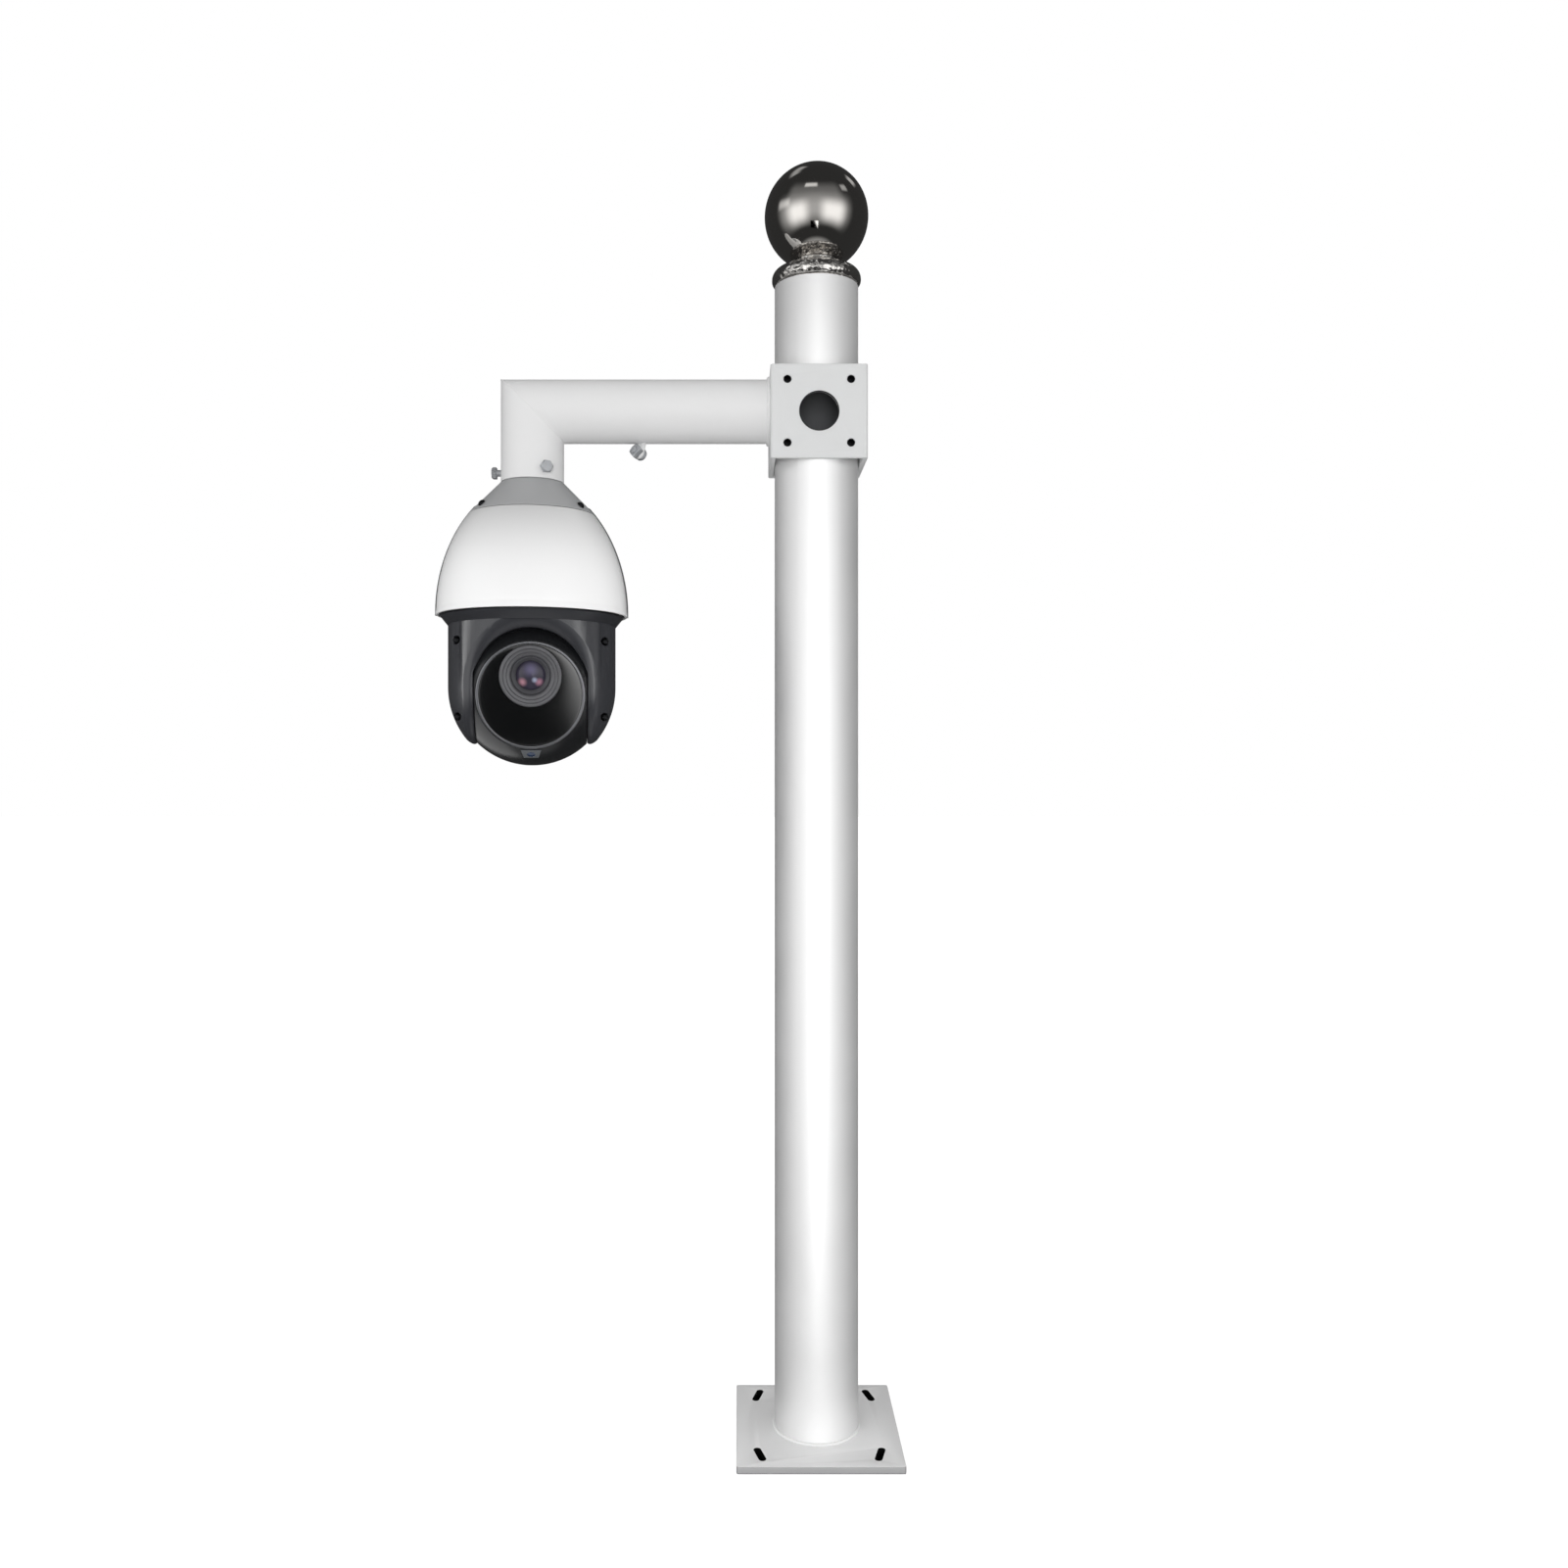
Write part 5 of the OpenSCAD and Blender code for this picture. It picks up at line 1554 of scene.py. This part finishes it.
@dataclass
class Studio:
    """Plain pale studio: an even surround, a soft light in front, and a dark room for the polished steel to mirror."""

    horizon: float = 1.0
    zenith: float = 0.35
    eye: Point3 = (-0.072, -1.189, 0.615)
    lens: float = 29.91
    shift: Point2 = (0.02967, -0.0178)
    # Half width, in metres, of the square of painted shadow on the floor under the plate.
    painted_shadow_half: float = 0.0725
    middle: Point3 = (0.0, 0.0, 1.1)
    room: float = 8.0
    dusk: float = 0.04
    patches: tuple[Patch, ...] = (
        Patch(-8, -2, (76, 22), 18, 0.6),
        Patch(-45, -7, (20, 19), 14, 1.0),
        Patch(34, -7, (24, 19), 14, 1.0),
        Patch(-8, 33, (60, 14), 12, 0.18),
        Patch(-17, 48, (16, 4), 3, 0.9),
        Patch(-78, 18, (14, 6), 5, 0.6),
        Patch(68, 42, (8, 5), 3, 0.5),
        Patch(120, 48, (9, 5), 3, 0.6),
        Patch(-135, 64, (25, 5), 4, 0.45),
        Patch(0, -78, (180, 14), 6, 0.4),
    )
    cards: tuple[Card, ...] = (
        Card("window_card", (-0.165, -1.0, 0.372), (-0.259, 0, 0.677), (0.36, 0.34), (0.0, 2.4), (0.04, 0.18), 25),
    )
    lamps: tuple[Lamp, ...] = (
        Lamp("front_softbox", (-0.15, -3.4, 0.3), (-0.1, 0, 0.7), (0.9, 1.2), 44),
        Lamp("pole_softbox", (0.0, -1.5, 0.8), (0.0, 0, 0.8), (0.42, 1.58), 10.4,
             ("pole_round_tube",), True),
        Lamp("pole_softbox_back", (0.35, 1.7, 0.8), (0.0, 0, 0.7), (0.6, 1.58), 10,
             ("pole_round_tube",), True),
        Lamp("pole_softbox_low", (0.0, -0.9, 0.06), (0.0, 0, 0.12), (0.22, 0.1), 2.7,
             ("pole_round_tube",), True),
        Lamp("plate_softbox", (-0.25, -1.0, 1.2), (0.0, 0, 0), (1.2, 0.8), 4.5,
             ("base_plate_edge_rounded", "foot_weld_bead")),
        Lamp("shield_softbox_left", (-2.659, -0.75, 0.15), (-0.259, 0, 0.77), (1.0, 0.8), 26,
             ("sun_shield_front", "sun_shield_back")),
        Lamp("shield_softbox_right", (2.141, -0.75, 0.15), (-0.259, 0, 0.77), (1.0, 0.8), 27,
             ("sun_shield_front", "sun_shield_back")),
        Lamp("shield_softbox_low", (-0.259, -0.95, 0.04), (-0.259, 0, 0.76), (0.7, 0.2), 2.0,
             ("sun_shield_front",)),
        Lamp("ball_sheen", (-0.95, 0.33, 0.06), (-0.259, 0, 0.65), (0.9, 0.9), 2.4, ("ball_shell_front",), True),
        Lamp("yoke_strip_left", (-2.75, -0.1, 0.75), (-0.259, 0, 0.68), (0.8, 1.6), 16,
             ("yoke_shell_front",), True),
        Lamp("yoke_strip_right", (2.0, -1.0, 0.75), (-0.259, 0, 0.68), (0.4, 1.6), 12,
             ("yoke_shell_front",), True),
    )

    def build(self) -> None:
        """Makes the world, the floor, the lamps, the room for reflections and the camera."""
        bpy.context.scene.view_settings.view_transform = "Standard"
        self.world()
        self.floor()
        for lamp in self.lamps:
            lamp.hang()
        self.reflected_room()
        for card in self.cards:
            card.hang()
        self.camera()

    def world(self) -> None:
        """Lights evenly from all round, and shows white to the camera, to gloss and through glass."""
        world = bpy.data.worlds.new("studio")
        world.use_nodes = True
        tree = world.node_tree
        tree.nodes.clear()
        path = add(tree, "ShaderNodeLightPath")
        seen = math_node(tree, "MAXIMUM", path.outputs["Is Camera Ray"], path.outputs["Is Glossy Ray"])
        seen = math_node(tree, "MAXIMUM", seen, path.outputs["Is Transmission Ray"])
        height = add(tree, "ShaderNodeSeparateXYZ", {0: add(tree, "ShaderNodeTexCoord").outputs["Generated"]})
        ambient = add(tree, "ShaderNodeMapRange", {
            "Value": height.outputs["Z"], "From Min": 0.0, "From Max": 0.9, "To Min": self.horizon,
            "To Max": self.zenith,
        })
        strength = add(tree, "ShaderNodeMapRange", {
            "Value": seen, "To Min": ambient.outputs["Result"], "To Max": 1.0,
        })
        shade = add(tree, "ShaderNodeBackground", {"Color": linear("#ffffff"), "Strength": strength.outputs[0]})
        add(tree, "ShaderNodeOutputWorld", {"Surface": shade.outputs[0]})
        bpy.context.scene.world = world

    def floor(self) -> None:
        """Lays the floor, which shows white with the object's soft shadow, and a near black painted shadow in the
        square under the plate.
        """
        mesh = bpy.data.meshes.new("studio_floor")
        size, low = 12.0, -0.0005
        mesh.from_pydata([(-size, -size, low), (size, -size, low), (size, size, low), (-size, size, low)], [],
                         [(0, 1, 2, 3)])
        paint = bpy.data.materials.new("studio_floor_paint")
        paint.use_nodes = True
        tree = paint.node_tree
        tree.nodes.clear()
        path = add(tree, "ShaderNodeLightPath")
        spot = add(tree, "ShaderNodeSeparateXYZ", {0: add(tree, "ShaderNodeTexCoord").outputs["Object"]})
        away = math_node(tree, "MAXIMUM", math_node(tree, "ABSOLUTE", spot.outputs["X"]),
                         math_node(tree, "ABSOLUTE", spot.outputs["Y"]))
        # Painted shadow: within the plate's square the floor is near black and does not glow.
        outside_painted_shadow = math_node(tree, "GREATER_THAN", away, self.painted_shadow_half)
        tone = add(tree, "ShaderNodeMix", {"Factor": outside_painted_shadow, "A": linear("#0c0c0c"), "B": linear("#dcdcdc")},
                   data_type="RGBA")
        matt = add(tree, "ShaderNodeBsdfDiffuse", {"Color": tone.outputs["Result"]})
        glow = add(tree, "ShaderNodeEmission", {
            "Color": linear("#ffffff"),
            "Strength": math_node(tree, "MULTIPLY", math_node(tree, "MULTIPLY", path.outputs["Is Camera Ray"], 0.8),
                                  outside_painted_shadow),
        })
        both = add(tree, "ShaderNodeAddShader", {0: matt.outputs[0], 1: glow.outputs[0]})
        add(tree, "ShaderNodeOutputMaterial", {"Surface": both.outputs[0]})
        mesh.materials.append(paint)
        floor = new_object("studio_floor", mesh)
        floor.visible_glossy = False

    def reflected_room(self) -> None:
        """Stands a dim room with soft bright patches round the object, which only gloss sees."""
        bm = bmesh.new()
        bmesh.ops.create_uvsphere(bm, u_segments=48, v_segments=24, radius=self.room)
        bmesh.ops.transform(bm, verts=bm.verts, matrix=Matrix.Translation(self.middle))
        mesh = bpy.data.meshes.new("reflected_room")
        bm.to_mesh(mesh)
        bm.free()
        made, tree = glowing("reflected_room")
        place = add(tree, "ShaderNodeTexCoord").outputs["Object"]
        way = add(tree, "ShaderNodeVectorMath", {0: place, 1: self.middle}, operation="SUBTRACT")
        unit = add(tree, "ShaderNodeVectorMath", {0: way.outputs[0]}, operation="NORMALIZE")
        parts = add(tree, "ShaderNodeSeparateXYZ", {0: unit.outputs[0]})
        front = math_node(tree, "MULTIPLY", parts.outputs["Y"], -1.0)
        angles = [math_node(tree, "DEGREES", math_node(tree, "ARCTAN2", parts.outputs["X"], front)),
                  math_node(tree, "DEGREES", math_node(tree, "ARCSINE", parts.outputs["Z"]))]
        glow = self.dusk
        for patch in self.patches:
            glow = math_node(tree, "ADD", patch.light(tree, angles), glow)
        tree.links.new(glow, tree.nodes["Emission"].inputs["Strength"])
        mesh.materials.append(made)
        seen_in_gloss_only(new_object("reflected_room", mesh))

    def camera(self) -> None:
        """Sets the camera level, at the photograph's viewing point."""
        data = bpy.data.cameras.new("photo_camera")
        data.sensor_width = 36
        data.lens = self.lens
        data.shift_x, data.shift_y = self.shift
        data.clip_start, data.clip_end = 0.05, 60
        camera = bpy.data.objects.new("photo_camera", data)
        bpy.context.scene.collection.objects.link(camera)
        camera.location = self.eye
        camera.rotation_euler = (math.radians(90), 0, 0)
        bpy.context.scene.camera = camera


def main() -> None:
    """Builds the sub-assemblies in order."""
    logging.basicConfig(level=logging.INFO, format="%(name)s: %(message)s")
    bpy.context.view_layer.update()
    for part in (PoleAndCollar(), Arm(), Finial(), CameraHousing(), Yoke(), Eye()):
        LOG.info("building %s", type(part).__name__)
        part.build()
    InnerParts().dress()
    Studio().build()


if __name__ == "__main__":
    main()
